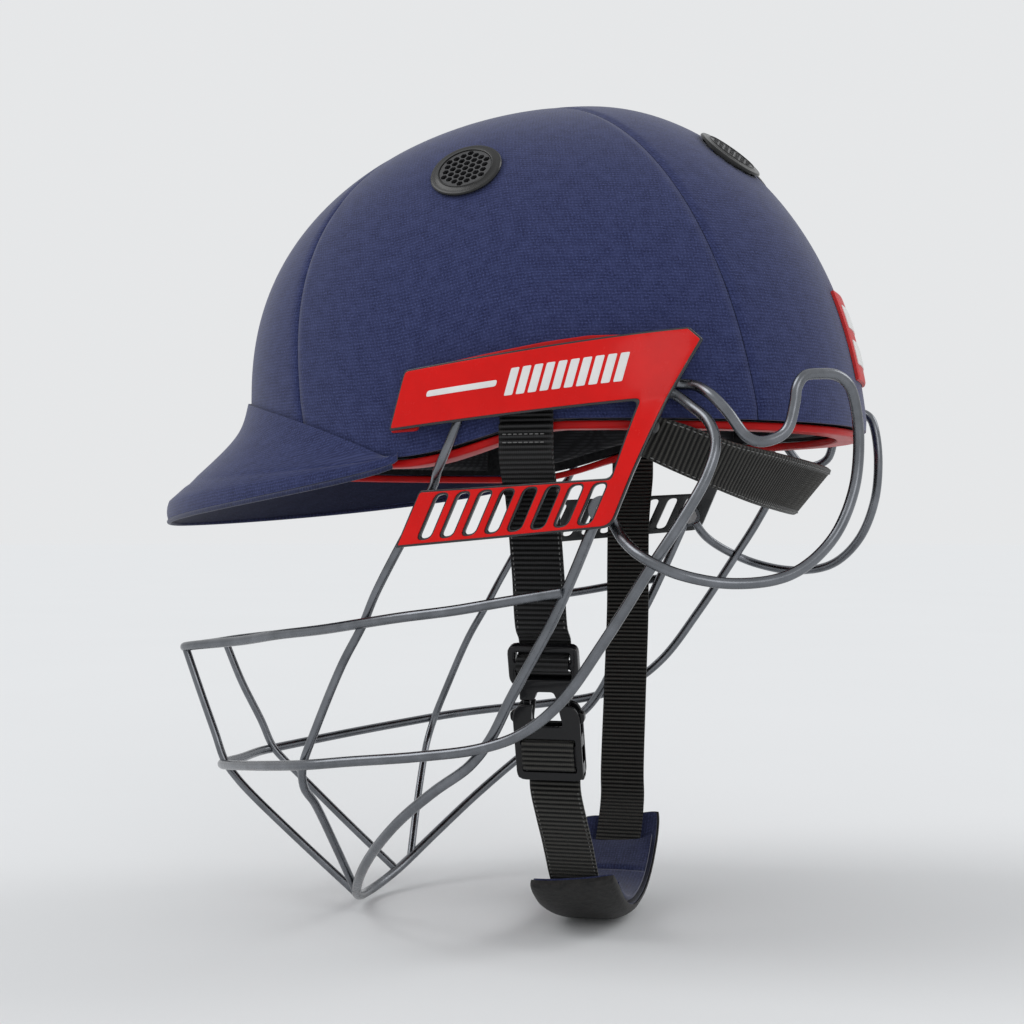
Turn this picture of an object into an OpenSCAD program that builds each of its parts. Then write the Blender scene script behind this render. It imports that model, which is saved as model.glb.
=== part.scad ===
/* [Shell] */
// Width of the covered shell at its widest
shell_w = 208; // [200:1:216]
// Length of the shell ahead of its crown
front_l = 144.5; // [138:0.5:150]
// Length of the shell behind its crown
rear_l = 118.5; // [112:0.5:126]
// Height of the crown above the rim's middle
crown_z = 133.5; // [126:0.5:140]
// Thickness of the fabric cover
cover_t = 1.0; // [0.8:0.1:1.4]
// Gap between the cover's panels at a seam
seam_gap = 0.5; // [0.3:0.1:0.8]
// Thickness of the hard shell
shell_t = 3.0; // [2.4:0.1:3.6]
// Thickness of the foam liner
liner_t = 9.5; // [8:0.5:11]
// Thickness of the comfort pads at their crown
pad_t = 7.0; // [5:0.5:9]
// Height of the rim trim
trim_h = 3.0; // [2.6:0.2:4]
// Width of the rim trim, across the rim
trim_w = 9.6; // [8:0.2:11]
// Inset of the rim trim's outer edge from the cover's surface
trim_inset = 3.4; // [2:0.2:4.4]

/* [Peak] */
// Reach of the peak ahead of the shell's front
peak_reach = 46; // [40:1:52]
// Half width of the peak's edge at the temples, less that of the shell
peak_half_w = -2.5; // [-3:0.5:0]
// Height of the edge at the tip
peak_edge_t = 9.5; // [7:0.5:12]
// Height of the edge at the temples
peak_temple_t = 3.5; // [3:0.5:5]
// Thickness of the peak's fabric skins
peak_skin_t = 1.0; // [0.8:0.1:1.3]
// Diameter of the piping round the peak's edge
piping_d = 2.0; // [1.6:0.2:2.6]

/* [Vents] */
// Diameter of a vent's flange
vent_d = 29; // [27:0.5:31]
// Diameter of the hole that a vent fills
vent_hole_d = 24; // [22.5:0.5:25]
// Width across a honeycomb hole
vent_cell = 2.4; // [2:0.1:2.5]
// Wall between two honeycomb holes
vent_web = 0.6; // [0.5:0.1:0.8]

/* [Side plates] */
// Clearance from the cover to the side plates
plate_gap = 5.7; // [5.4:0.1:6.4]
// Thickness of a side plate's dark frame
plate_t = 2.2; // [1.8:0.1:2.8]
// Thickness of a side plate's red face
face_t = 0.8; // [0.6:0.1:1.2]
// Width of the frame that shows round the face
bevel_w = 0.8; // [0.6:0.1:1.2]
// Number of slots in the lower row
slot_count = 8; // [6:1:9]

/* [Guard] */
// Diameter of the guard's main wires
wire_d = 4.0; // [3.4:0.1:4.4]
// Diameter of the guard's thin wires
thin_d = 3.4; // [3:0.1:3.8]
// Half width of the guard at the cheeks
guard_half_w = 104; // [102:0.5:108]
// Diameter of the eyelets at the wires' ends
eyelet_d = 10; // [8:0.5:12]
// Diameter of the guard's screws
screw_d = 4; // [3:0.5:4.5]

/* [Straps] */
// Width of the chin webbing
strap_w = 20; // [16:1:22]
// Thickness of the chin webbing
strap_t = 1.2; // [1:0.1:1.6]
// Thickness of the nape band
nape_t = 2.0; // [1.6:0.1:2.6]
// Lean of the buckle inwards at its lower end, in degrees
buckle_lean = 17; // [14:1:20]
// Width of the buckle
buckle_w = 27; // [26:0.5:30]
// Thickness of the buckle
buckle_t = 7; // [6.4:0.2:8]
// Travel of a buckle prong when it is pressed
prong_travel = 1.8; // [1.4:0.1:2]
// Length of the chin cup round the chin, side to side
cup_span = 112; // [100:2:120]
// Width of the chin cup, front to back
cup_w = 36; // [32:1:40]
// Thickness of the chin cup's shell
cup_t = 2.4; // [2:0.1:3]
// Thickness of the chin pad at its crown
chin_pad_t = 5.5; // [4:0.5:7]

/* [Label] */
// Width of the rear label
label_w = 40; // [34:1:44]
// Thickness of the rear label
label_t = 1.0; // [0.6:0.1:1.4]

/* [Hidden] */
$fn = 40;
// Crown of the dome, behind the middle of the head opening
crown_y = 11.5;
// Shape of the dome: rounding of its plan, and how fast it closes in at the front and at the rear
plan_power = 2.2;
front_close = 1.03;
rear_close = 1.06;
front_rise = 0.87;
rear_rise = 0.82;
// Height at which the dome is widest, at the front and at the rear
front_equator = 11;
rear_equator = -40;
// Fall of the straight skirt below the widest height, for each degree of elevation
skirt_step = 2;
// Height of the rim at the brow and at the rear
brow_rim_z = -18;
rear_rim_z = -4.6;
// Running gap between layers
layer_gap = 0.8;
pad_gap = 1.4;
side = shell_w / 2;
shell_d = -cover_t - layer_gap;
liner_d = shell_d - shell_t - layer_gap;
pad_d = liner_d - liner_t - pad_gap;

// Corners of the cover: where the seams leave the rim, and where all four meet near the crown
front_seam = -48.4;
rear_seam = 46.5;
seam_apex = [0, -0.31, 0.95];

// Peak: angle of its ends at the temples, and heights of its seam on the cover and of its underside
peak_end = -28.3;
peak_seam_z = [-18.7, 10.5];
peak_under_z = [-23.5, -14];
peak_edge_z = [-19.8, -42.3];
peak_temple_y = -39;
peak_sweep = peak_reach + front_l - crown_y + peak_temple_y;
peak_plan_power = 1.7;
// Depth and reach of the hollow where the brim turns out from the cover
peak_turn = [2, -14];
// Part of the peak's sweep that its core and its lining leave free at each temple, in degrees
peak_core_end = 17;
peak_lining_end = 13;
peak_inset = 6;
peak_core_inset = 8.5;
sheet_gap = 0.3;

// Plan angle and elevation of each vent pair
front_vent = [-23.3, 42.4];
rear_vent = [71, 54];
vent_flange_t = 1.6;
vent_tube_t = 1.0;
vent_mesh_t = 1.2;
vent_mesh_z = 0.5;
vent_depth = 6;

// Side plate: ends of its rows in y and z, front end then rear end
bar_top = [[-33.8, 13.8], [70.2, 28]];
bar_shoulder = [[-35, 10], [75.1, 23.7]];
bar_bottom = [[-40.3, -8.6], [64, 2]];
row_top = [[-31, -30.5], [52.5, -26.5]];
row_bottom = [[-41, -52], [44.5, -44.5]];
// Slots: share of the row's height left below and above, place of the strut and width of a slot
slot_margin = [0.13, 0.1];
strut_share = 0.9;
slot_share = 0.054;
// Inner face of the lower row: inset from the guard's half width, and how much it flares to the rear
row_inset = 9;
row_flare = 0.155;
bracket_t = 2;
bracket_gap = 2.4;
bracket_edge = 2;
bracket_from = 0.76;

// Guard routes: x as a share of the guard's half width, or of the shell's above the heights in guard_free_z
guard_free_z = [-34, -20];
top_route = [
    [0, -166, -96.5], [0.17, -166, -96.5], [0.235, -160, -95.5], [0.433, -127, -91.5], [0.6, -102, -87.5],
    [0.74, -79, -84.5], [0.865, -57, -81], [0.937, -38, -78], [0.98, -16, -75], [1, 4, -71.5], [1, 25, -68]
];
lower_route = [
    [0, -146.5, -147], [0.19, -146, -146.5], [0.28, -142.5, -146], [0.577, -116, -141.5], [0.77, -94, -138],
    [0.885, -78, -135.5], [0.933, -60, -133], [0.975, -30, -129.5], [1, -6, -125.5], [1.03, 11, -119],
    [1.06, 26, -107], [1.09, 43, -84], [1.115, 60, -58], [1.105, 71, -41], [1.08, 79, -26],
    [1.05, 81.5, -15], [1.01, 78.5, -7], [0.955, 71.5, -1], [0.932, 65, 3.5], [0.943, 61.3, 5.3]
];
chin_route = [
    [1, 37.6, -41.2], [0.98, 28.5, -62], [0.971, 20, -80], [0.968, 5, -107], [0.968, -3, -122.5],
    [0.966, -11, -132.5], [0.94, -25, -142.5], [0.86, -41, -155], [0.7, -58, -171], [0.5, -71.5, -186],
    [0.25, -82, -199], [0, -86.5, -203.5]
];
front_wire_route = [
    [0.2, -163.8, -97.3], [0.212, -156.5, -115], [0.24, -148, -133], [0.252, -142.7, -145],
    [0.261, -137, -151.5], [0.268, -130, -158], [0.26, -107, -178], [0.25, -82.6, -198.5]
];
side_wire_route = [
    [1.015, -12, 0], [1.015, -15.5, -9], [1.008, -20.5, -20], [0.976, -23.3, -23.7], [0.923, -26, -27.5],
    [0.902, -28.7, -31.5], [0.89, -34, -39.5], [0.87, -51, -69], [0.845, -57.5, -82], [0.836, -66, -97],
    [0.828, -77.5, -123], [0.818, -83, -137], [0.77, -84.5, -146], [0.68, -83.5, -154],
    [0.52, -81.5, -173], [0.35, -79, -195]
];
ring_route = [
    [0.938, 61.8, 8], [0.917, 67, 7.4], [0.93, 72.5, 6.6], [0.98, 79, 2.6], [1.005, 85, -3.5],
    [1.03, 92.5, -13], [1.033, 98, -14.5], [1.015, 105.5, -11], [1, 108.5, -1], [0.995, 109.2, 4.5],
    [0.975, 111.5, 8.6], [0.94, 116.5, 9.7], [0.9, 122.3, 9.4], [0.872, 126.2, 6.4], [0.852, 128.3, 0],
    [0.838, 129.6, -14], [0.855, 127.7, -32], [0.91, 120.5, -49], [1.01, 107, -61], [1.1, 88, -64],
    [1.145, 69, -60.5],
    [1.11, 56, -54.5], [1.045, 48.5, -49], [1.01, 45.2, -45], [1, 43, -41]
];
// Eyelets: y and z of their middles, two on the shell and one behind the foot of the strut
eyelet_places = [[-10, 4], [57, 8]];
strut_eyelet = [40, -38];
eyelet_t = 2.2;
eyelet_lift = 0.7;

// Chin strap: hinge line at its anchors, and the middle line of the webbing from under the plate to the cup;
// x is measured in from the shell's side
anchor_y = 15.5;
anchor_z = 4;
anchor_d = 4;
strap_line = [
    [1.3, 12, 9], [1.3, 12, -14], [0.9, 12, -19], [-1.4, 12, -24], [-5.4, 12, -31], [-10, 12, -42],
    [-14.4, 12.5, -62], [-17.5, 13, -82]
];
buckle_in = 24.5;
buckle_at = [side - buckle_in, 13.5, -112];
buckle_top = 25;
buckle_bottom = -29;
// Lower edges of the two slots in the buckle's lower half, and their height
fold_slots = [-25.5, -14.6];
fold_slot_h = 2.4;
// Webbing where it is threaded through the buckle, x and z in the buckle's own frame
thread_top = [
    [-3.7, 26], [-3.7, 23.1], [-2.2, 21.2], [2.2, 19.6], [3.7, 17.9], [3.7, 16.3], [2.2, 14.6],
    [-2.2, 13], [-3.7, 11.3], [-3.8, 5.5]
];
thread_low = [
    [0.5, -24.3], [3.4, -24.3], [4.5, -23.6], [4.7, -21.7], [4.7, -16], [4.5, -14.1], [3.4, -13.4],
    [-3.4, -13.4], [-4.5, -14.1], [-4.7, -16], [-4.7, -28], [-3.4, -36]
];
// Webbing between the buckle and the cup; x is measured in from the shell's side
lower_strap = [[-42, 15, -157], [-46.5, 16, -166]];
cup_at = [0, 17, -206];
cup_rise = 26;
cup_curl = 5;
cup_tilt = 2;
cup_power = 2.3;
cup_end_w = 0.98;
// Fall of the cup's end on the buckle's side, and rise of its other end
cup_lean = 4;
strap_bed = 0.8;
strap_bed_end = 1.4;

// Nape band: its upper and lower edges from the left plate round to the middle of the nape;
// x as a share of the shell's half width
nape_top = [
    [0.966, 58, -4], [0.947, 70, -8], [0.851, 84, -13.5], [0.635, 99, -17], [0.346, 110, -19.5],
    [0, 114, -20.5]
];
nape_low = [
    [0.966, 51, -17.5], [0.923, 63, -23.5], [0.817, 76, -29.5], [0.606, 88, -35], [0.327, 96, -38],
    [0, 98.5, -39]
];
nape_rivet = [57.3, -8];

// Label on the back of the cover: its lower and upper elevations
label_e = [14, 26.5];

// Numbers and vectors
function mix(a, b, k) = a + (b - a) * k;
function unit(v) = v / norm(v);
function smooth(k) = let (c = min(1, max(0, k))) c * c * (3 - 2 * c);
function flip_x(p) = [-p.x, p.y, p.z];
function direction(t, e) = [cos(e) * cos(t), cos(e) * sin(t), sin(e)];
function arc_between(a, b, k) =
    let (w = acos(min(1, a * b)))
    w < 0.01 ? a : (a * sin((1 - k) * w) + b * sin(k * w)) / sin(w);

// Dome of the helmet: t is the plan angle (0 left, -90 front), e the elevation, d the offset outwards
function rear_share(t) = (1 + sin(t)) / 2;
function dome_close(t) = mix(front_close, rear_close, rear_share(t));
function dome_rise(t) = mix(front_rise, rear_rise, rear_share(t));
function equator_z(t) = mix(front_equator, rear_equator, rear_share(t));
function plan_r(t, d) =
    let (along = (sin(t) < 0 ? front_l : rear_l) + d)
    pow(pow(abs(cos(t)) / (side + d), plan_power) + pow(abs(sin(t)) / along, plan_power), -1 / plan_power);
function dome(t, e, d) =
    let (z0 = equator_z(t), r = plan_r(t, d) * (e > 0 ? pow(cos(e), dome_close(t)) : 1))
    [r * cos(t), crown_y + r * sin(t),
     e > 0 ? z0 + (crown_z + d - z0) * pow(sin(e), dome_rise(t)) : z0 + e * skirt_step];
function dome_along(u, d) = dome(atan2(u.y, u.x), asin(u.z), d);
// Elevation at which the layer d stands at the height z
function level(t, z, d) =
    let (z0 = equator_z(t))
    z > z0 ? asin(pow((z - z0) / (crown_z + d - z0), 1 / dome_rise(t))) : (z - z0) / skirt_step;
function rim_z(t) = mix(rear_rim_z, brow_rim_z, smooth((0.15 - sin(t)) / 0.65));
// Half width of the dome at a given y and z, found by repeated plan angles
function side_x(y, z, x = 90, turns = 8) =
    turns == 0 ? x :
    let (t = atan2(y - crown_y, x), p = dome(t, level(t, z, 0), 0), r = norm([p.x, p.y - crown_y]))
    side_x(y, z, sqrt(max(1, r * r - pow(y - crown_y, 2))), turns - 1);

// Smooth line through hand-chosen points
function knot(a, b) = pow(norm(b - a), 0.5);
function blend(a, b, ta, tb, t) = a * (tb - t) / (tb - ta) + b * (t - ta) / (tb - ta);
function curve_point(p0, p1, p2, p3, k) =
    let (t1 = knot(p0, p1), t2 = t1 + knot(p1, p2), t3 = t2 + knot(p2, p3), t = mix(t1, t2, k),
         a = blend(p0, p1, 0, t1, t), b = blend(p1, p2, t1, t2, t), c = blend(p2, p3, t2, t3, t))
    blend(blend(a, b, 0, t2, t), blend(b, c, t1, t3, t), t1, t2, t);
function curve(points, steps) =
    let (n = len(points), last = 2 * points[n - 1] - points[n - 2],
         p = concat([2 * points[0] - points[1]], points, [last]))
    concat([for (i = [1:n - 1], s = [0:steps - 1])
                curve_point(p[i - 1], p[i], p[i + 1], p[i + 2], s / steps)],
           [points[n - 1]]);
// Whole route from its left half, which ends or starts on the middle plane
function both_sides(half) =
    let (n = len(half))
    half[0].x == 0 ? concat([for (i = [n - 1:-1:1]) flip_x(half[i])], half)
                   : concat(half, [for (i = [n - 2:-1:0]) flip_x(half[i])]);
function guard_x(z) =
    mix(guard_half_w, side, smooth((z - guard_free_z[0]) / (guard_free_z[1] - guard_free_z[0])));
function guard_points(route) = [for (p = route) [p.x * guard_x(p.z), p.y, p.z]];

// Closed skin between two matching grids; rows run up and columns run anticlockwise, seen from outside
module skin(outer, inner, filled = undef, round = false, capped = false) {
    rows = len(outer);
    cols = len(outer[0]);
    spans = round ? cols : cols - 1;
    function id(i, j, k) = (k * rows + i) * cols + j % cols;
    function quad(a, b, c, d) = [[a, b, c], [a, c, d]];
    function solid(i, j) =
        i < 0 || i > rows - 2 ? false :
        !round && (j < 0 || j > cols - 2) ? false :
        filled == undef ? true : filled[i][j % cols];
    function wrap(j) = round ? (j + cols) % cols : j;
    cells = [for (i = [0:rows - 2], j = [0:spans - 1]) if (solid(i, j)) [i, j]];
    faces = [
        for (c = cells) let (i = c[0], j = c[1]) each concat(
            quad(id(i, j, 0), id(i + 1, j, 0), id(i + 1, j + 1, 0), id(i, j + 1, 0)),
            quad(id(i, j, 1), id(i, j + 1, 1), id(i + 1, j + 1, 1), id(i + 1, j, 1)),
            solid(i - 1, j) ? [] : quad(id(i, j, 0), id(i, j + 1, 0), id(i, j + 1, 1), id(i, j, 1)),
            solid(i + 1, j) || (capped && i == rows - 2) ? [] :
                quad(id(i + 1, j, 0), id(i + 1, j, 1), id(i + 1, j + 1, 1), id(i + 1, j + 1, 0)),
            solid(i, wrap(j - 1)) ? [] : quad(id(i, j, 0), id(i, j, 1), id(i + 1, j, 1), id(i + 1, j, 0)),
            solid(i, wrap(j + 1)) ? [] :
                quad(id(i, j + 1, 0), id(i + 1, j + 1, 0), id(i + 1, j + 1, 1), id(i, j + 1, 1)))
    ];
    caps = !capped ? [] : [
        [for (j = [cols - 1:-1:0]) id(rows - 1, j, 0)],
        [for (j = [0:cols - 1]) id(rows - 1, j, 1)]
    ];
    polyhedron([each [for (r = outer) each r], each [for (r = inner) each r]], concat(faces, caps));
}

// Grid moved along its own normals
function moved(grid, d) =
    let (rows = len(grid), cols = len(grid[0]))
    [for (i = [0:rows - 1]) [for (j = [0:cols - 1])
        let (across = grid[i][min(j + 1, cols - 1)] - grid[i][max(j - 1, 0)],
             up = grid[min(i + 1, rows - 1)][j] - grid[max(i - 1, 0)][j])
        grid[i][j] + d * unit(cross(across, up))]];

// Solid swept through matching closed rings
module swept(rings) {
    n = len(rings[0]);
    last = len(rings) - 1;
    sides = [for (i = [0:last - 1], j = [0:n - 1]) let (k = (j + 1) % n)
        each [[i * n + j, i * n + k, i * n + n + k], [i * n + j, i * n + n + k, i * n + n + j]]];
    polyhedron([for (r = rings) each r],
               concat(sides, [[for (j = [n - 1:-1:0]) j], [for (j = [0:n - 1]) last * n + j]]));
}

// Direction of a line at each of its points
function tangents(line) =
    [for (i = [0:len(line) - 1]) unit(line[min(i + 1, len(line) - 1)] - line[max(i - 1, 0)])];
// Side vectors that turn as little as they can along a line
function side_vectors(dirs, start, i = 0, found = []) =
    i == len(dirs) ? found :
    let (before = i == 0 ? start : found[i - 1], v = unit(before - (before * dirs[i]) * dirs[i]))
    side_vectors(dirs, start, i + 1, concat(found, [v]));

module rod(line, d, sides = 8) {
    dirs = tangents(line);
    a = side_vectors(dirs, unit(cross(dirs[0], abs(dirs[0].z) > 0.9 ? [1, 0, 0] : [0, 0, 1])));
    swept([for (i = [0:len(line) - 1])
        let (b = cross(dirs[i], a[i]))
        [for (s = [0:sides - 1])
            line[i] - (a[i] * cos(360 * s / sides) - b * sin(360 * s / sides)) * d / 2]]);
}

// Flat webbing whose width lies along y
module webbing(line, w, t) {
    dirs = tangents(line);
    swept([for (i = [0:len(line) - 1])
        let (n = unit(cross([0, 1, 0], dirs[i])), across = [0, w / 2, 0], thick = n * t / 2)
        [line[i] - across - thick, line[i] + across - thick,
         line[i] + across + thick, line[i] - across + thick]]);
}

// Grid over the dome from the rim to near the crown
function dome_grid(d, cols, rows, lift, top) =
    [for (i = [0:rows]) [for (j = [0:cols - 1])
        let (t = 360 * j / cols, low = level(t, rim_z(t) + lift, d)) dome(t, mix(low, top, i / rows), d)]];

// Places a child that stands on z on the dome, facing outwards
module on_dome(t, e, d = 0) {
    step = 0.5;
    p = dome(t, e, d);
    n = unit(cross(dome(t + step, e, d) - dome(t - step, e, d),
                   dome(t, e + step, d) - dome(t, e - step, d)));
    translate(p) rotate([0, acos(n.z), atan2(n.y, n.x)]) children();
}

module at_vents() {
    for (v = [front_vent, rear_vent], t = [v[0], 180 - v[0]])
        on_dome(t, v[1]) children();
}

module vent_holes() {
    at_vents() translate([0, 0, -30]) cylinder(d = vent_hole_d, h = 40);
}

// Shell and what lines it
module hard_shell() {
    color("#20222a") difference() {
        skin(dome_grid(shell_d, 36, 9, 0, 87), dome_grid(shell_d - shell_t, 36, 9, 0, 87),
             round = true, capped = true);
        vent_holes();
    }
}

module foam_liner() {
    color("#1b1b1d") difference() {
        skin(dome_grid(liner_d, 36, 9, 0, 87), dome_grid(liner_d - liner_t, 36, 9, 0, 87),
             round = true, capped = true);
        vent_holes();
    }
}

// Rim trim, a flat moulding that closes the gap between the shell and the liner
module rim_trim() {
    rim_cols = 48;
    function trim_ring(d, z) = [for (j = [0:rim_cols - 1])
        let (t = 360 * j / rim_cols) dome(t, level(t, rim_z(t) - layer_gap - z, d), d)];
    color("#c81e1c") skin([trim_ring(-trim_inset, trim_h), trim_ring(-trim_inset, 0)],
                          [trim_ring(-trim_inset - trim_w, trim_h), trim_ring(-trim_inset - trim_w, 0)],
                          round = true);
}

// Panel of the fabric cover between two seams that run up to their common corner
module cover_panel(from, to, cols) {
    rows = 11;
    gap = asin(seam_gap / 2 / side);
    function panel(d) = [for (i = [0:rows]) [for (j = [0:cols])
        let (t = mix(from + gap, to - gap, j / cols), low = direction(t, level(t, rim_z(t), 0)))
        dome_along(unit(arc_between(low, unit(seam_apex), 0.985 * i / rows)), d)]];
    skin(panel(0), panel(-cover_t));
}

module cover_front() {
    color("#333c63") cover_panel(-180 - front_seam, front_seam, 10);
}

module cover_left() {
    color("#2c3456") difference() {
        cover_panel(front_seam, rear_seam, 12);
        vent_holes();
    }
}

module cover_right() {
    color("#2c3456") difference() {
        cover_panel(180 - rear_seam, 180 - front_seam, 12);
        vent_holes();
    }
}

module cover_rear() {
    color("#3a4470") difference() {
        cover_panel(rear_seam, 180 - rear_seam, 11);
        vent_holes();
    }
}

// Comfort pad: full in the middle, drawn in towards its edges, from t and e ranges on the liner
module comfort_pad(t_range, z_low, e_top, cols, rows) {
    function swell(k) = 1 - pow(abs(2 * k - 1), 3);
    function thickness(a, b) = 1 + (pad_t - 1) * pow(swell(a) * swell(b), 0.5);
    function place(i, j, out) =
        let (a = j / cols, b = i / rows, t = mix(t_range[0], t_range[1], a))
        dome(t, mix(level(t, rim_z(t) + z_low, 0), e_top, b), pad_d - (out ? 0 : thickness(a, b)));
    skin([for (i = [0:rows]) [for (j = [0:cols]) place(i, j, true)]],
         [for (i = [0:rows]) [for (j = [0:cols]) place(i, j, false)]]);
}

module brow_pad() {
    color("#17181a") comfort_pad([-140, -40], 2, 26, 14, 6);
}

module side_pads() {
    color("#17181a") {
        comfort_pad([-30, 35], 4, 34, 9, 6);
        comfort_pad([145, 210], 4, 34, 9, 6);
    }
}

module nape_pad() {
    color("#17181a") comfort_pad([48, 132], 4, 36, 11, 6);
}

module crown_pad() {
    crown_cols = 20;
    levels = [0, 0.25, 0.5, 0.75, 1];
    function ring(k, out) = [for (j = [0:crown_cols - 1])
        dome(360 * j / crown_cols, mix(58, 86, k), pad_d - (out ? 0 : 1 + (pad_t - 1) * pow(k, 0.5)))];
    color("#17181a") skin([for (k = levels) ring(k, true)], [for (k = levels) ring(k, false)],
                          round = true, capped = true);
}

// Peak: k runs from one temple (0) over the front (1) to the other temple, s across the brim
function peak_share(t) = (sin(peak_end) - sin(t)) / (1 + sin(peak_end));
function peak_angle(t) = 90 * min(1, (abs(t + 90) - 90 - peak_end) / (-90 - peak_end));
function on_cover(t, z, d) = dome(t, level(t, z, d), d);
function peak_joint(t, z) = on_cover(t, mix(z[0], z[1], peak_share(t)), peak_skin_t + sheet_gap);
function peak_seam(t) = peak_joint(t, peak_seam_z);
function peak_root(t) = peak_joint(t, peak_under_z);
function peak_edge(t, up) =
    let (f = peak_angle(t), k = sin(f), power = 2 / peak_plan_power,
         thick = mix(peak_temple_t, peak_edge_t, k))
    [sign(cos(t)) * (side + peak_half_w) * pow(max(0, cos(f)), power),
     peak_temple_y - peak_sweep * pow(k, power) + (up == 0.5 ? 0 : 1.2 * k),
     mix(peak_edge_z[0], peak_edge_z[1], pow(k, 0.8)) + thick * up];
function peak_top(t, s) =
    let (a = peak_edge(t, 1), c = peak_seam(t), k = sin(peak_angle(t)), out = unit([c.x, c.y - crown_y, 0]),
         b = c + pow(k, 1.6) * (out * peak_turn[0] + [0, 0, peak_turn[1]]) + (1 - k) * (a - c) / 2)
    pow(1 - s, 3) * a + 3 * s * (1 - s) * b + pow(s, 3) * c;
peak_cols = 24;
peak_rows = 6;
// Plan angles over the peak's sweep, short of its ends by the angle free; rows run up from the edge
function peak_t(j, free) = mix(-180 - peak_end + free, peak_end - free, j / peak_cols);
function peak_cut(t, inset) = inset / max(4 * inset, norm(peak_edge(t, 0) - peak_root(t)));
function peak_top_grid(free, inset) =
    [for (i = [0:peak_rows]) [for (j = [0:peak_cols])
        let (t = peak_t(j, free), cut = peak_cut(t, inset)) peak_top(t, mix(cut, 1 - cut, i / peak_rows))]];
function peak_under_grid(free, inset, rows) =
    [for (i = [0:rows]) [for (j = [0:peak_cols])
        let (t = peak_t(j, free), cut = peak_cut(t, inset))
        mix(peak_edge(t, 0), peak_root(t), mix(cut, 1 - cut, i / rows))]];

module peak_cover() {
    edge = [for (up = [0.25, 0.6]) [for (j = [0:peak_cols]) peak_edge(peak_t(j, 0), up)]];
    grid = concat(edge, peak_top_grid(0, 0));
    color("#39446f") skin(grid, moved(grid, -peak_skin_t));
}

module peak_core() {
    gap = peak_skin_t + 2 * sheet_gap;
    color("#202226") skin(moved(peak_top_grid(peak_core_end, peak_core_inset), -gap),
                          moved(peak_under_grid(peak_core_end, peak_core_inset, peak_rows), gap));
}

module peak_lining() {
    grid = peak_under_grid(peak_lining_end, peak_inset, 3);
    color("#1e2233") skin(moved(grid, peak_skin_t), grid);
}

module peak_piping() {
    drop = piping_d / 2 + 0.2;
    line = [for (j = [0:peak_cols])
        let (t = peak_t(j, 1)) mix(peak_edge(t, 0), peak_edge(t, 1), 0.25) - [0, 0, drop]];
    color("#2a3150") rod(line, piping_d, 6);
}

// Vents: a flange on the cover, a tube through the shell and a honeycomb mesh inside it
module vent_flanges() {
    color("#141517") at_vents() {
        difference() {
            union() {
                translate([0, 0, 0.4]) cylinder(d1 = vent_d, d2 = vent_d - 3, h = vent_flange_t);
                translate([0, 0, -vent_depth]) cylinder(d = vent_hole_d - 0.6, h = vent_depth + 1);
            }
            translate([0, 0, -vent_depth - 1])
                cylinder(d = vent_hole_d - 0.6 - 2 * vent_tube_t, h = vent_depth + 5);
        }
    }
}

module vent_meshes() {
    pitch = vent_cell + vent_web;
    rings = 3;
    color("#1c1e20") at_vents() {
        translate([0, 0, vent_mesh_z]) linear_extrude(vent_mesh_t) difference() {
            circle(d = vent_hole_d - 1 - 2 * vent_tube_t);
            for (a = [-rings:rings], b = [-rings:rings])
                if (abs(a + b) <= rings)
                    translate([pitch * (a + b / 2), pitch * b * sqrt(3) / 2])
                        rotate(30) circle(d = vent_cell / cos(30), $fn = 6);
        }
    }
}

module rear_label() {
    rows = 6;
    cols = 6;
    reach = asin(label_w / 2 / rear_l);
    function patch(d) = [for (i = [0:rows]) [for (j = [0:cols])
        dome(90 + mix(-1, 1, j / cols) * reach * mix(0.96, 1.12, i / rows),
             mix(label_e[0], label_e[1], i / rows), d)]];
    color("#d22a26") skin([for (r = patch(layer_gap + label_t)) [for (p = r) p]], patch(layer_gap));
}

// Side plates: rows of points from the front end to the rear end, raised from the plate's inner face
function low_x(y) = guard_half_w - row_inset + row_flare * (y - row_bottom[0].x);
function plate_point(row, k, on_shell, lift) =
    let (p = mix(row[0], row[1], k))
    [(on_shell ? side_x(p.x, p.y) + plate_gap : low_x(p.x)) + lift, p.x, p.y];
function row_between(k) = [mix(row_bottom[0], row_top[0], k), mix(row_bottom[1], row_top[1], k)];
slot_pitch = (strut_share - slot_share / 2) / (slot_count + 0.25);
// Shares of the plate's length where its columns of cells start, with the solid parts drawn in by m
function plate_columns(m) = [
    m, for (i = [0:slot_count - 1], s = [-1, 1]) slot_pitch * (i + 1.2) + s * (slot_share / 2 + m),
    strut_share + m, 1 - m
];
function plate_grid(m, lift) =
    let (cols = plate_columns(m / 86), up = m / 22,
         rows = [[row_between(up), false], [row_between(slot_margin[0] - up), false],
                 [row_between(1 - slot_margin[1] + up), false], [row_between(1 - up), false],
                 [[mix(bar_bottom[0], bar_top[0], up), mix(bar_bottom[1], bar_top[1], up)], true],
                 [bar_shoulder - [[0, 0], [m, 0]], true], [bar_top - [[0, m], [0, m]], true]])
    [for (r = rows) [for (k = cols) plate_point(r[0], k, r[1], lift)]];
// Cells of the plate that are solid: the slots and the window stay open
function slot_row_solid(j) = j % 2 == 0 || j == 2 * slot_count + 1;
solid_cells = [for (i = [0:5]) [for (j = [0:2 * slot_count + 1])
    i == 1 ? slot_row_solid(j) : i == 3 ? j == 2 * slot_count + 1 : true]];

module plate_frame() {
    color("#26292e") skin(plate_grid(0, plate_t), plate_grid(0, 0), solid_cells);
}

module plate_face() {
    inner = plate_t + sheet_gap;
    color("#d4201c") skin(plate_grid(bevel_w, inner + face_t), plate_grid(bevel_w, inner), solid_cells);
}

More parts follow.
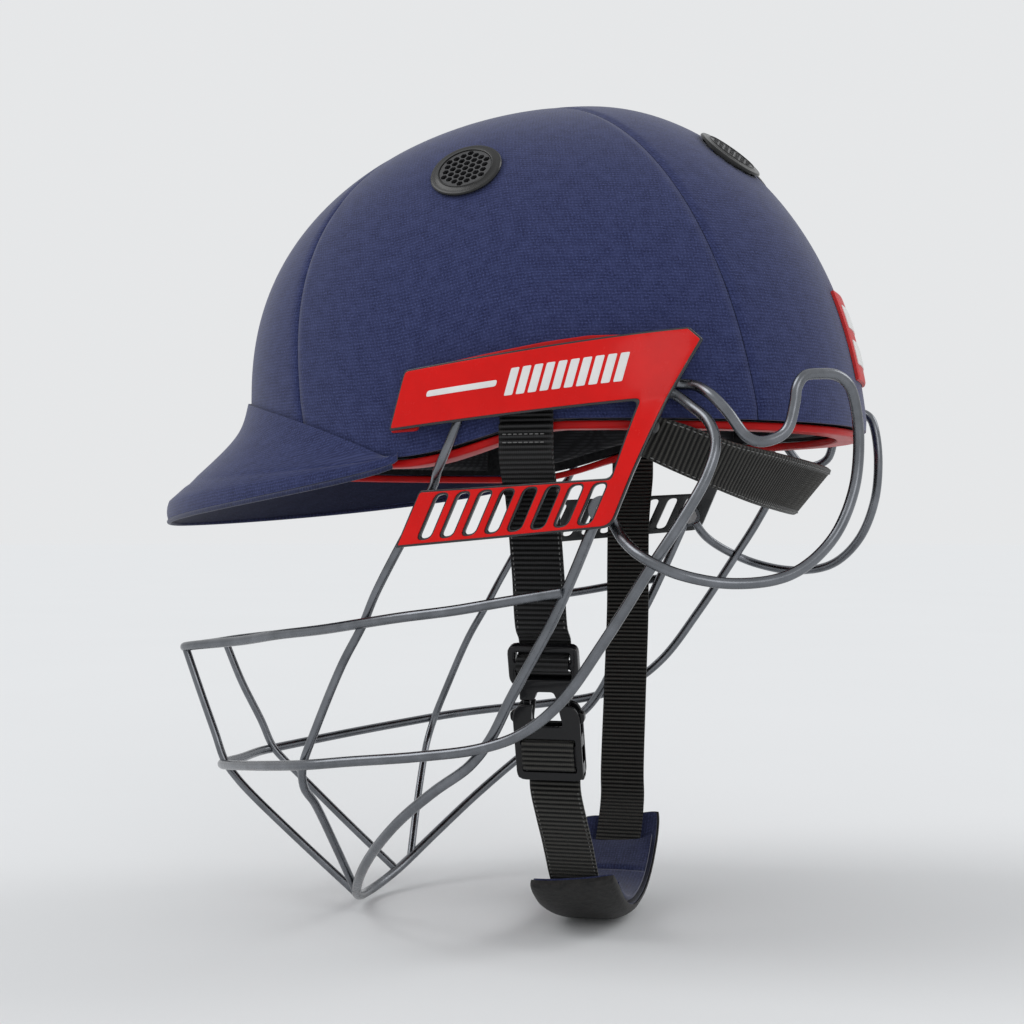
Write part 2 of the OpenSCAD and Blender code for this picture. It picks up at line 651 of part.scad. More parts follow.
// Bracket: the moulding between the cover and the upper bar of the plate, a little larger than the bar
module bracket() {
    cols = 12;
    low = [mix(bar_bottom[0], bar_top[0], bracket_from), mix(bar_bottom[1], bar_top[1], bracket_from)];
    high = bar_top + [[-bracket_edge, bracket_edge], [0, bracket_edge]];
    function bar(lift) = [for (r = [low, mix(low, high, 0.5), high]) [for (j = [0:cols])
        let (p = mix(r[0], r[1], j / cols)) [side_x(p.x, p.y) + bracket_gap + lift, p.x, p.y]]];
    color("#b81a18") skin(bar(bracket_t), bar(0));
}

module bracket_left() {
    bracket();
}

module bracket_right() {
    mirror([1, 0, 0]) bracket();
}

module plate_frame_left() {
    plate_frame();
}

module plate_frame_right() {
    mirror([1, 0, 0]) plate_frame();
}

module plate_face_left() {
    plate_face();
}

module plate_face_right() {
    mirror([1, 0, 0]) plate_face();
}

// Face guard
module guard_wire(points, d) {
    color("#4b5056") rod(curve(points, 2), d);
}

module guard_top_bar() {
    guard_wire(both_sides(guard_points(top_route)), wire_d);
}

module guard_lower_bar() {
    guard_wire(both_sides(guard_points(lower_route)), wire_d);
}

module guard_chin_loop() {
    guard_wire(both_sides(guard_points(chin_route)), wire_d);
}

module front_wire_left() {
    guard_wire(guard_points(front_wire_route), thin_d);
}

module front_wire_right() {
    mirror([1, 0, 0]) front_wire_left();
}

module side_wire_left() {
    guard_wire(guard_points(side_wire_route), thin_d);
}

module side_wire_right() {
    mirror([1, 0, 0]) side_wire_left();
}

module rear_ring_left() {
    guard_wire(guard_points(ring_route), wire_d);
}

module rear_ring_right() {
    mirror([1, 0, 0]) rear_ring_left();
}

// Frames of the eyelets: z outwards from the shell, or inwards from the foot of the strut
module at_shell_eyelets() {
    step = 3;
    for (s = [0, 1], p = eyelet_places) mirror([s, 0, 0])
        translate([side_x(p.x, p.y), p.x, p.y])
            rotate([0, 90, atan2(side_x(p.x - step, p.y) - side_x(p.x + step, p.y), 2 * step)]) children();
}

module at_strut_eyelets() {
    inner_face = low_x(strut_eyelet.x - eyelet_d / 2) - sheet_gap;
    for (s = [0, 1]) mirror([s, 0, 0])
        translate([inner_face, strut_eyelet.x, strut_eyelet.y]) rotate([0, -90, 0]) children();
}

module eyelet() {
    translate([0, 0, eyelet_lift]) difference() {
        cylinder(d = eyelet_d, h = eyelet_t);
        translate([0, 0, -1]) cylinder(d = screw_d + 0.4, h = eyelet_t + 2);
    }
}

module screw() {
    head_z = eyelet_lift + eyelet_t + 0.1;
    translate([0, 0, sheet_gap]) cylinder(d = screw_d, h = head_z);
    translate([0, 0, head_z]) cylinder(d = screw_d * 1.8, h = 0.7);
}

module guard_eyelets() {
    color("#4b5056") {
        at_shell_eyelets() eyelet();
        at_strut_eyelets() eyelet();
    }
}

module guard_screws() {
    color("#6a6d70") {
        at_shell_eyelets() screw();
        at_strut_eyelets() screw();
    }
}

// Chin strap
strap_route = [for (p = strap_line) [side + p.x, p.y, p.z]];
lower_points = [for (p = lower_strap) [side + p.x, p.y, p.z]];
function strap_lift(k) = cup_t + strap_t / 2 + strap_bed + strap_bed_end * k * k;
function cup_line(k, lift) =
    [k * (cup_span / 2 - lift * abs(k)), cup_at.y,
     cup_at.z + cup_rise * pow(abs(k), cup_power) - cup_lean * k + lift];
// Frame of the buckle: x outwards, y to the rear, z up along the strap
module at_buckle() {
    translate(buckle_at) rotate([0, buckle_lean, 0]) children();
}
function buckle_point(x, z) =
    let (c = cos(buckle_lean), s = sin(buckle_lean)) buckle_at + [x * c + z * s, 0, z * c - x * s];

module anchor_holes() {
    translate([-2 * side, anchor_y, anchor_z]) rotate([0, 90, 0]) cylinder(d = anchor_d + 0.6, h = 4 * side);
}

module strap_upper() {
    line = concat(strap_route, [for (p = thread_top) buckle_point(p[0], p[1])]);
    color("#151618") difference() {
        webbing(curve(line, 2), strap_w, strap_t);
        anchor_holes();
    }
}

module strap_chin() {
    down = concat([for (p = thread_low) buckle_point(p[0], p[1])], lower_points);
    cup_part = [for (k = [0.9, 0.7, 0.5, 0.25, 0, -0.25, -0.5, -0.7, -0.9]) cup_line(k, strap_lift(k))];
    last = len(strap_route) - 1;
    far = concat([lower_points[1], lower_points[0], buckle_point(0, -12)],
                 [for (i = [last:-1:0]) strap_route[i]]);
    color("#1b1c1f") difference() {
        webbing(curve(concat(down, cup_part, [for (p = far) flip_x(p)]), 2), strap_w, strap_t);
        anchor_holes();
    }
}

// Rivet: a shank from the cover through the webbing and a flat head outside it
module rivet(height, through, d) {
    translate([0, 0, height]) {
        cylinder(d = d, h = through);
        translate([0, 0, through]) cylinder(d = 2 * d, h = 0.8);
    }
}

module strap_rivets() {
    start = 0.3;
    strap_x = side_x(anchor_y, anchor_z);
    nape_x = side_x(nape_rivet.x, nape_rivet.y);
    color("#5a5d60") for (s = [0, 1]) mirror([s, 0, 0]) {
        translate([strap_x, anchor_y, anchor_z]) rotate([0, 90, 0])
            rivet(start, side + strap_line[0].x + strap_t / 2 + sheet_gap - strap_x - start, anchor_d);
        translate([nape_x, nape_rivet.x, nape_rivet.y]) rotate([0, 90, 0])
            rivet(start, side * nape_top[0].x + 2 * sheet_gap - nape_x - start, anchor_d - 1);
    }
}

// Male half: a ladder lock above and a short body with a notch between the prongs
module buckle_male() {
    bar = 2.6;
    slot = 4;
    color("#121314") at_buckle() difference() {
        translate([-buckle_t / 2 + 1, -buckle_w / 2, 3]) cube([buckle_t - 2, buckle_w, buckle_top - 3]);
        for (z = [buckle_top - bar - slot, buckle_top - 2 * bar - 2 * slot])
            translate([-buckle_t, -strap_w / 2 - 0.5, z]) cube([2 * buckle_t, strap_w + 1, slot]);
        translate([-buckle_t, -4.5, 2]) cube([2 * buckle_t, 9, 4.5]);
    }
}

// One sprung prong on the rear side, with the shoulder that is pressed
module prong() {
    color("#17181a") at_buckle() {
        translate([-1.6, 6.2, -9]) cube([3.2, 2.6, 11.7]);
        translate([-1.6, 8.8, -7]) cube([3.2, 5.6, 5.5]);
    }
}

module prong_front() {
    translate([0, 2 * buckle_at.y, 0]) mirror([0, 1, 0]) prong();
}

module prong_rear() {
    prong();
}

// Female half: a flat sleeve with side windows for the shoulders, and a bar that the webbing goes round
module buckle_female() {
    color("#121314") at_buckle() difference() {
        translate([-buckle_t / 2, -buckle_w / 2 + 0.5, buckle_bottom])
            cube([buckle_t, buckle_w - 1, -buckle_bottom + 2.4]);
        translate([-2.1, -9.1, -10.5]) cube([4.2, 18.2, 14]);
        translate([-2.1, -buckle_w, -8.2]) cube([4.2, 2 * buckle_w, 7.6]);
        translate([-buckle_t, -4.5, -4]) cube([2 * buckle_t, 9, 8]);
        for (z = fold_slots)
            translate([-buckle_t, -strap_w / 2 - 0.5, z]) cube([2 * buckle_t, strap_w + 1, fold_slot_h]);
    }
}

// Chin cup: a trough that rises at both ends, with a pad inside it
cup_cols = 18;
cup_rows = 6;
function cup_point(k, w, lift) =
    let (half = cup_w / 2 * mix(1, cup_end_w, k * k), c = cup_line(k, lift))
    [c.x, c.y + half * w, c.z + cup_curl * pow(w, 4) * (1 - 0.4 * k * k) + cup_tilt * w * k * k];
function cup_grid(lift) =
    [for (i = [0:cup_rows]) [for (j = [0:cup_cols])
        cup_point(mix(-1, 1, j / cup_cols), mix(-1, 1, i / cup_rows), lift)]];

module chin_cup() {
    color("#2b2c2e") skin(cup_grid(cup_t), cup_grid(0));
}

module chin_pad() {
    span = 0.74;
    reach = 0.9;
    function base(k) = cup_t + strap_bed + strap_t + 0.9 + strap_bed_end * k * k;
    function swell(i, n) = 1 - pow(abs(2 * i / n - 1), 4);
    function pad(puff) = [for (i = [0:cup_rows]) [for (j = [0:cup_cols])
        let (k = span * mix(-1, 1, j / cup_cols), full = swell(i, cup_rows) * swell(j, cup_cols))
        cup_point(k, reach * mix(-1, 1, i / cup_rows), base(k) + puff * chin_pad_t * (0.2 + 0.8 * full))]];
    color("#252b48") skin(pad(1), pad(0));
}

// Nape band: ribbed webbing from plate to plate round the nape
function nape_points(route) = [for (p = route) [p.x * side, p.y, p.z]];

module nape_band() {
    steps = 2;
    rows = 2;
    top = curve(both_sides(nape_points(nape_top)), steps);
    low = curve(both_sides(nape_points(nape_low)), steps);
    n = len(top) - 1;
    grid = [for (i = [0:rows]) [for (j = [0:n]) mix(low[j], top[j], i / rows)]];
    color("#1c1d20") difference() {
        skin(grid, moved(grid, -nape_t));
        translate([-2 * side, nape_rivet.x, nape_rivet.y]) rotate([0, 90, 0])
            cylinder(d = anchor_d - 1 + 0.6, h = 4 * side);
    }
}

hard_shell();
cover_front();
cover_left();
cover_right();
cover_rear();
peak_core();
peak_cover();
peak_lining();
peak_piping();
rim_trim();
foam_liner();
brow_pad();
crown_pad();
side_pads();
nape_pad();
vent_flanges();
vent_meshes();
rear_label();
bracket_left();
bracket_right();
plate_frame_left();
plate_frame_right();
plate_face_left();
plate_face_right();
guard_top_bar();
guard_lower_bar();
guard_chin_loop();
front_wire_left();
front_wire_right();
side_wire_left();
side_wire_right();
rear_ring_left();
rear_ring_right();
guard_eyelets();
guard_screws();
strap_upper();
buckle_male();
prong_front();
prong_rear();
buckle_female();
strap_chin();
chin_cup();
chin_pad();
strap_rivets();
nape_band();
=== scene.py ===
"""Batting helmet with a wire face guard: the looks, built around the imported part.

Lengths are in millimetres in the part's own frame (X to the wearer's left, Y to the rear, Z up). They turn
into metres where a mesh is made. Angles are in degrees.
"""
import math

import bmesh
import bpy
import numpy as np
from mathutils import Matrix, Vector


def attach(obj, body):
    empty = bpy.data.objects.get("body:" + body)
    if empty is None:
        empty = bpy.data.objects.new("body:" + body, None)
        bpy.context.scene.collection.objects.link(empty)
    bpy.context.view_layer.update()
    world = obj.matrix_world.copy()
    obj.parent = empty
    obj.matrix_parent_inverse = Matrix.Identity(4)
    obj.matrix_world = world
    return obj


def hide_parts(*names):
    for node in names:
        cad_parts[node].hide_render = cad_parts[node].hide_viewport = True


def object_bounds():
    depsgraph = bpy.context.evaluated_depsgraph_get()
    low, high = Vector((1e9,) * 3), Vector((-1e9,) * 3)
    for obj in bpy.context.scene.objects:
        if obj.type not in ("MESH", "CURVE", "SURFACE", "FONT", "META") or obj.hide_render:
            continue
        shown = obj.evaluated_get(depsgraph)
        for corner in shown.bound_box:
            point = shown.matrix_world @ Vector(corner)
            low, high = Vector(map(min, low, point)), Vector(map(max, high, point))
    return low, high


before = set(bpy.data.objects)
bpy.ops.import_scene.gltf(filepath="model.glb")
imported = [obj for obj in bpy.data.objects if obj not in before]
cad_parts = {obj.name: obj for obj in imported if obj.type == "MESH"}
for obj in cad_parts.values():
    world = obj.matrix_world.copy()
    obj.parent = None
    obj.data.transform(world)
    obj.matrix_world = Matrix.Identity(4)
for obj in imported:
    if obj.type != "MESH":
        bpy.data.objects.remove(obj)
cad_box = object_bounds()
scene = bpy.context.scene
MM = 0.001
HELMET = "helmet"
STRAP = "strap"
SIDES = (("left", 1), ("right", -1))

# Shape values, the same as the part's
SHELL_W = 208.0
SIDE = SHELL_W / 2
FRONT_L, REAR_L, CROWN_Z, CROWN_Y = 144.5, 118.5, 133.5, 11.5
PLAN_POWER = 2.2
CLOSE = (1.03, 1.06)
RISE = (0.87, 0.82)
EQUATOR = (11.0, -40.0)
SKIRT_STEP = 2.0
BROW_RIM_Z, REAR_RIM_Z = -18.0, -4.6
COVER_T, SHELL_T, LINER_T, PAD_T = 1.0, 3.0, 9.5, 7.0
LAYER_GAP, PAD_GAP, SHEET_GAP = 0.8, 1.4, 0.3
LINER_D = -COVER_T - LAYER_GAP - SHELL_T - LAYER_GAP
PAD_D = LINER_D - LINER_T - PAD_GAP
TRIM_H, TRIM_W, TRIM_INSET = 3.0, 9.6, 3.4
FRONT_SEAM, REAR_SEAM = -48.4, 46.5
SEAM_APEX = np.array([0, -0.31, 0.95])

PEAK_REACH, PEAK_HALF_W, PEAK_POWER = 140.0, 101.5, 1.7
PEAK_EDGE_T, PEAK_TEMPLE_T, PEAK_SKIN_T = 9.5, 3.5, 1.0
PEAK_END, PEAK_TEMPLE_Y = -28.3, -39.0
PEAK_SEAM_Z, PEAK_UNDER_Z, PEAK_EDGE_Z = (-18.7, 10.5), (-23.5, -14.0), (-19.8, -42.3)
PEAK_TURN = (2.0, -14.0)
PIPING_D = 2.0

VENTS = ((-23.3, 42.4), (71.0, 54.0))
VENT_D, VENT_HOLE_D, VENT_DEPTH = 29.0, 24.0, 6.0

GUARD_HALF_W = 104.0
WIRE_D, THIN_D = 4.0, 3.4
PLATE_GAP, PLATE_T, FACE_T, BEVEL_W = 5.7, 2.2, 0.8, 0.8
ROW_INSET, ROW_FLARE = 9.0, 0.155
BAR_TOP = ((-33.8, 13.8), (70.2, 28.0))
BAR_SHOULDER = ((-35.0, 10.0), (75.1, 23.7))
BAR_BOTTOM = ((-40.3, -8.6), (64.0, 2.0))
ROW_TOP = ((-31.0, -30.5), (52.5, -26.5))
ROW_BOTTOM = ((-41.0, -52.0), (44.5, -44.5))
SLOT_COUNT, SLOT_SHARE, STRUT_SHARE = 8, 0.054, 0.9
SLOT_MARGIN = (0.13, 0.1)
BRACKET_T, BRACKET_GAP, BRACKET_FROM = 2.0, 2.4, 0.76

STRAP_W, STRAP_T, NAPE_T = 20.0, 1.2, 2.0
BUCKLE_AT = np.array([79.5, 13.5, -112.0])
BUCKLE_LEAN = 17.0
BUCKLE_W, BUCKLE_T, BUCKLE_TOP, BUCKLE_BOTTOM = 27.0, 7.0, 25.0, -29.0
FOLD_SLOTS, FOLD_SLOT_H = (-25.5, -14.6), 2.4
CUP_AT = (0.0, 17.0, -206.0)
CUP_SPAN, CUP_W, CUP_T = 112.0, 36.0, 2.4
CUP_RISE, CUP_CURL, CUP_TILT, CUP_POWER, CUP_END_W, CUP_LEAN = 26.0, 5.0, 2.0, 2.3, 0.98, 4.0
STRAP_BED, STRAP_BED_END, CHIN_PAD_T = 0.8, 1.4, 5.5
LABEL_W, LABEL_T, LABEL_E = 40.0, 1.0, (14.0, 26.5)

# Routes of the wires: x as a share of the guard's half width
TOP_ROUTE = [
    (0, -166, -96.5), (0.17, -166, -96.5), (0.235, -160, -95.5), (0.433, -127, -91.5), (0.6, -102, -87.5),
    (0.74, -79, -84.5), (0.865, -57, -81), (0.937, -38, -78), (0.98, -16, -75), (1, 4, -71.5), (1, 25, -68),
]
LOWER_ROUTE = [
    (0, -146.5, -147), (0.19, -146, -146.5), (0.28, -142.5, -146), (0.577, -116, -141.5), (0.77, -94, -138),
    (0.885, -78, -135.5), (0.933, -60, -133), (0.975, -30, -129.5), (1, -6, -125.5), (1.03, 11, -119),
    (1.06, 26, -107), (1.09, 43, -84), (1.115, 60, -58), (1.105, 71, -41), (1.08, 79, -26),
    (1.05, 81.5, -15), (1.01, 78.5, -7), (0.955, 71.5, -1), (0.932, 65, 3.5), (0.943, 61.3, 5.3),
]
CHIN_ROUTE = [
    (1, 37.6, -41.2), (0.98, 28.5, -62), (0.971, 20, -80), (0.968, 5, -107), (0.968, -3, -122.5),
    (0.966, -11, -132.5), (0.94, -25, -142.5), (0.86, -41, -155), (0.7, -58, -171), (0.5, -71.5, -186),
    (0.25, -82, -199), (0, -86.5, -203.5),
]
FRONT_WIRE_ROUTE = [
    (0.2, -163.8, -97.3), (0.212, -156.5, -115), (0.24, -148, -133), (0.252, -142.7, -145),
    (0.261, -137, -151.5), (0.268, -130, -158), (0.26, -107, -178), (0.25, -82.6, -198.5),
]
SIDE_WIRE_ROUTE = [
    (1.015, -12, 0), (1.015, -15.5, -9), (1.008, -20.5, -20), (0.976, -23.3, -23.7), (0.923, -26, -27.5),
    (0.902, -28.7, -31.5), (0.89, -34, -39.5), (0.87, -51, -69), (0.845, -57.5, -82), (0.836, -66, -97),
    (0.828, -77.5, -123), (0.818, -83, -137), (0.77, -84.5, -146), (0.68, -83.5, -154),
    (0.52, -81.5, -173), (0.35, -79, -195),
]
RING_ROUTE = [
    (0.938, 61.8, 8), (0.917, 67, 7.4), (0.93, 72.5, 6.6), (0.98, 79, 2.6), (1.005, 85, -3.5),
    (1.03, 92.5, -13), (1.033, 98, -14.5), (1.015, 105.5, -11), (1, 108.5, -1), (0.995, 109.2, 4.5),
    (0.975, 111.5, 8.6), (0.94, 116.5, 9.7), (0.9, 122.3, 9.4), (0.872, 126.2, 6.4), (0.852, 128.3, 0),
    (0.838, 129.6, -14), (0.855, 127.7, -32), (0.91, 120.5, -49), (1.01, 107, -61), (1.1, 88, -64),
    (1.145, 69, -60.5),
    (1.11, 56, -54.5), (1.045, 48.5, -49), (1.01, 45.2, -45), (1, 43, -41),
]
# Webbing: x from the shell's side, or x and z in the buckle's own frame
STRAP_LINE = [
    (1.3, 12, 9), (1.3, 12, -14), (0.9, 12, -19), (-1.4, 12, -24), (-5.4, 12, -31), (-10, 12, -42),
    (-14.4, 12.5, -62), (-17.5, 13, -82),
]
THREAD_TOP = [
    (-3.7, 26), (-3.7, 23.1), (-2.2, 21.2), (2.2, 19.6), (3.7, 17.9), (3.7, 16.3), (2.2, 14.6),
    (-2.2, 13), (-3.7, 11.3), (-3.8, 5.5),
]
THREAD_LOW = [
    (0.5, -24.3), (3.4, -24.3), (4.5, -23.6), (4.7, -21.7), (4.7, -16), (4.5, -14.1), (3.4, -13.4),
    (-3.4, -13.4), (-4.5, -14.1), (-4.7, -16), (-4.7, -28), (-3.4, -36),
]
LOWER_STRAP = [(62, 15, -157), (57.5, 16, -166)]
NAPE_TOP = [
    (100.5, 58, -4), (98.5, 70, -8), (88.5, 84, -13.5), (66, 99, -17), (36, 110, -19.5), (0, 114, -20.5),
]
NAPE_LOW = [
    (100.5, 51, -17.5), (96, 63, -23.5), (85, 76, -29.5), (63, 88, -35), (34, 96, -38), (0, 98.5, -39),
]


# Numbers
def mix(a, b, k):
    return a + (b - a) * k


def smooth(k):
    c = np.clip(k, 0, 1)
    return c * c * (3 - 2 * c)


def bell(x, width):
    """One at zero, and next to nothing from two widths away."""
    return np.exp(-(x / width) ** 2)


def unit(v):
    v = np.asarray(v, float)
    return v / np.maximum(np.linalg.norm(v, axis=-1, keepdims=True), 1e-12)


def flip_x(points):
    return np.asarray(points, float) * [-1, 1, 1]


def sin_d(a):
    return np.sin(np.radians(a))


def cos_d(a):
    return np.cos(np.radians(a))


def direction(t, e):
    return np.stack([cos_d(e) * cos_d(t), cos_d(e) * sin_d(t), sin_d(e) * np.ones_like(cos_d(t))], -1)


def arc_between(a, b, k):
    w = np.arccos(np.clip(np.sum(a * b, -1, keepdims=True), -1, 1))
    return (a * np.sin((1 - k) * w) + b * np.sin(k * w)) / np.sin(w)


# Dome
def rear_share(t):
    return (1 + sin_d(t)) / 2


def dome(t, e, d):
    """Point of the dome at the plan angle t and the elevation e, with the offset d outwards."""
    t, e = np.broadcast_arrays(np.asarray(t, float), np.asarray(e, float))
    share = rear_share(t)
    along = np.where(sin_d(t) < 0, FRONT_L, REAR_L) + d
    r = ((np.abs(cos_d(t)) / (SIDE + d)) ** PLAN_POWER
         + (np.abs(sin_d(t)) / along) ** PLAN_POWER) ** (-1 / PLAN_POWER)
    up = np.clip(e, 0, 90)
    r = r * cos_d(up) ** mix(*CLOSE, share)
    z0 = mix(*EQUATOR, share)
    z = z0 + (CROWN_Z + d - z0) * sin_d(up) ** mix(*RISE, share) + np.minimum(e, 0) * SKIRT_STEP
    return np.stack([r * cos_d(t), CROWN_Y + r * sin_d(t), z], -1)


def dome_along(u, d):
    """Point of the dome in the direction u."""
    x, y, z = np.moveaxis(u, -1, 0)
    return dome(np.degrees(np.arctan2(y, x)), np.degrees(np.arcsin(np.clip(z, -1, 1))), d)


def level(t, z, d):
    """Elevation at which the layer d stands at the height z."""
    share = rear_share(t)
    z0 = mix(*EQUATOR, share)
    k = np.clip((z - z0) / (CROWN_Z + d - z0), 0, 1)
    return np.where(z > z0, np.degrees(np.arcsin(k ** (1 / mix(*RISE, share)))), (z - z0) / SKIRT_STEP)


def rim_z(t):
    return mix(REAR_RIM_Z, BROW_RIM_Z, smooth((0.15 - sin_d(t)) / 0.65))


def side_x(y, z, turns=8):
    """Half width of the dome at y and z."""
    y, z = np.broadcast_arrays(np.asarray(y, float), np.asarray(z, float))
    x = np.full(y.shape, 90.0)
    for _ in range(turns):
        t = np.degrees(np.arctan2(y - CROWN_Y, x))
        p = dome(t, level(t, z, 0), 0)
        x = np.sqrt(np.maximum(1, p[..., 0] ** 2 + (p[..., 1] - CROWN_Y) ** 2 - (y - CROWN_Y) ** 2))
    return x


def dome_frame(t, e, step=0.5):
    """Place on the dome with its outward, level and upward directions."""
    level_way = dome(t + step, e, 0) - dome(t - step, e, 0)
    up_way = dome(t, e + step, 0) - dome(t, e - step, 0)
    out = unit(np.cross(level_way, up_way))
    a = unit(level_way)
    return dome(t, e, 0), out, a, np.cross(out, a)


def dome_grid(d, cols=120, rows=40, top=88):
    """Grid over the layer d from the rim up to the elevation top."""
    t = np.arange(cols) * 360 / cols
    return dome(t, mix(level(t, rim_z(t), d), top, np.linspace(0, 1, rows + 1)[:, None]), d)


# Lines
def between(p, q, start, end, t):
    """The place at the time t of what is at p at the start and at q at the end."""
    return p * (end - t) / (end - start) + q * (t - start) / (end - start)


def curve(points, steps):
    """Centripetal line through given points."""
    p = np.asarray(points, float)
    p = np.vstack([2 * p[0] - p[1], p, 2 * p[-1] - p[-2]])
    out = []
    for i in range(1, len(p) - 2):
        p0, p1, p2, p3 = p[i - 1], p[i], p[i + 1], p[i + 2]
        t1 = np.linalg.norm(p1 - p0) ** 0.5
        t2 = t1 + np.linalg.norm(p2 - p1) ** 0.5
        t3 = t2 + np.linalg.norm(p3 - p2) ** 0.5
        for s in range(steps):
            t = mix(t1, t2, s / steps)
            a, b, c = between(p0, p1, 0, t1, t), between(p1, p2, t1, t2, t), between(p2, p3, t2, t3, t)
            out.append(between(between(a, b, 0, t2, t), between(b, c, t1, t3, t), t1, t2, t))
    out.append(p[-2])
    return np.array(out)


def run_along(points, axis=0):
    """Length walked along one axis of a grid of points, from zero."""
    steps = np.linalg.norm(np.diff(points, axis=axis), axis=-1)
    return np.cumsum(np.insert(steps, 0, 0, axis=axis), axis=axis)


def at_lengths(line, run, at):
    """Points of a line at the lengths at, where run holds its own points' lengths."""
    return np.stack([np.interp(at, run, column) for column in line.T], -1)


def evenly(line, pitch):
    """The line again, with its points about pitch apart."""
    run = run_along(line)
    n = max(2, int(round(run[-1] / pitch)))
    return at_lengths(line, run, np.linspace(0, run[-1], n + 1))


def both_sides(half):
    half = np.asarray(half, float)
    other = flip_x(half[::-1])
    return np.vstack([other, half[1:]]) if half[0][0] == 0 else np.vstack([half, other[1:]])


def guard_points(route):
    return np.asarray(route, float) * [GUARD_HALF_W, 1, 1]


def tangents(line):
    ways = np.empty_like(line)
    ways[1:-1] = line[2:] - line[:-2]
    ways[0], ways[-1] = line[1] - line[0], line[-1] - line[-2]
    return unit(ways)


# Meshes
def piece(name, verts, faces, finish, body=HELMET, replaces=(), slot=None, sharp=40, weave=None):
    """A closed mesh in millimetres becomes a piece that rides on a body."""
    mesh = bpy.data.meshes.new(name)
    mesh.from_pydata((np.asarray(verts, float) * MM).tolist(), [], [list(map(int, f)) for f in faces])
    if weave is not None:
        threads = mesh.attributes.new("weave", "FLOAT_VECTOR", "POINT")
        threads.data.foreach_set("vector", (np.asarray(weave, float) * MM).ravel())
    bm = bmesh.new()
    bm.from_mesh(mesh)
    bmesh.ops.remove_doubles(bm, verts=bm.verts, dist=1e-6)
    bmesh.ops.delete(bm, geom=[v for v in bm.verts if not v.link_faces], context="VERTS")
    bmesh.ops.recalc_face_normals(bm, faces=bm.faces)
    bm.to_mesh(mesh)
    bm.free()
    return dress(name, mesh, finish, body, replaces, sharp)


def dress(name, mesh, finish, body, replaces, sharp):
    """Object of a finished mesh, with its material, its sharp edges and its body."""
    obj = bpy.data.objects.new(name, mesh)
    scene.collection.objects.link(obj)
    mesh.shade_smooth()
    mesh.set_sharp_from_angle(angle=math.radians(sharp))
    mesh.materials.append(finish)
    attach(obj, body)
    if replaces:
        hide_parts(*replaces)
    return obj


def refinish(finish, *nodes):
    """Material of CAD nodes that stay in view."""
    for node in nodes:
        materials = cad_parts[node].data.materials
        materials.clear()
        materials.append(finish)


def weave_of(grid):
    """Thread coordinates of a skin: lengths along its rows from their middle, and up its columns."""
    across, up = run_along(grid, 1), run_along(grid, 0)
    flat = np.stack([across - across[:, -1:] / 2, up, 0 * up], -1).reshape(-1, 3)
    return np.vstack([flat, flat])


def skin(outer, inner, ring=False, keep=None, cap=False):
    """Closed skin between two matching grids, rows upwards and columns anticlockwise from above."""
    rows, cols = outer.shape[:2]
    spans = cols if ring else cols - 1
    kept = np.zeros((rows + 1, spans + 2), bool)
    kept[1:-1, 1:-1] = True if keep is None else keep
    if ring:
        kept[:, 0], kept[:, -1] = kept[:, -2], kept[:, 1]
    kept[-1] = cap
    faces = []
    for i, j in zip(*np.nonzero(kept[1:-1, 1:-1])):
        right = (j + 1) % cols
        out = [i * cols + j, i * cols + right, (i + 1) * cols + right, (i + 1) * cols + j]
        back = [v + rows * cols for v in out]
        faces += [out, [back[a] for a in (0, 3, 2, 1)]]
        beside = (kept[i, j + 1], kept[i + 1, j + 2], kept[i + 2, j + 1], kept[i + 1, j])
        for a, b in ((0, 1), (1, 2), (2, 3), (3, 0)):
            if not beside[a]:
                faces.append((out[a], back[a], back[b], out[b]))
    if cap:
        top = (rows - 1) * cols + np.arange(cols)
        faces += [top, top[::-1] + rows * cols]
    return np.vstack([outer.reshape(-1, 3), inner.reshape(-1, 3)]), faces


def axes(a_range, cols, b_range, rows):
    """Values across and up a grid, shaped to go into one formula together."""
    return np.linspace(*a_range, cols + 1)[None, :], np.linspace(*b_range, rows + 1)[:, None]


def moved(grid, d):
    """Grid moved along its own normals, by one distance or by one for each point."""
    across, up = np.gradient(grid, axis=1), np.gradient(grid, axis=0)
    return grid + np.asarray(d)[..., None] * unit(np.cross(across, up))


def circle(a, b, sides):
    """Directions all round, in the plane of a and b."""
    turn = np.linspace(0, 2 * np.pi, sides, endpoint=False)[:, None]
    return a * np.cos(turn) + b * np.sin(turn)


def swept(rings, closed=False):
    """Solid through matching rings of points; it has two ends, or closes on itself."""
    rings = np.asarray(rings, float)
    count, n = rings.shape[:2]
    faces = [(i * n + j, i * n + (j + 1) % n, (i + 1) % count * n + (j + 1) % n, (i + 1) % count * n + j)
             for i in range(count if closed else count - 1) for j in range(n)]
    if not closed:
        faces += [range(n)[::-1], range((count - 1) * n, count * n)]
    return rings.reshape(-1, 3), faces


def join(parts):
    """Several solids as one mesh."""
    verts, faces, start = [], [], 0
    for v, f in parts:
        verts.append(v)
        faces += [[start + k for k in face] for face in f]
        start += len(v)
    return np.vstack(verts), faces


def tube(line, d, sides=16, blunt=0.35):
    """Round rod along a line, with its ends drawn in."""
    ways = tangents(line)
    a = unit(np.cross(ways[0], [1, 0, 0] if abs(ways[0][2]) > 0.9 else [0, 0, 1]))
    # Two rings at each end: how far each stands along the rod, and how much it is drawn in
    ends = {0: ((0, blunt), (blunt, 0)), len(line) - 1: ((-blunt, 0), (0, blunt))}
    rings = []
    for i, (p, w) in enumerate(zip(line, ways)):
        a = unit(a - np.dot(a, w) * w)
        ring = circle(a, np.cross(w, a), sides)
        rings += [p + w * ahead + ring * (d / 2 - drawn) for ahead, drawn in ends.get(i, ((0, 0),))]
    return swept(rings)


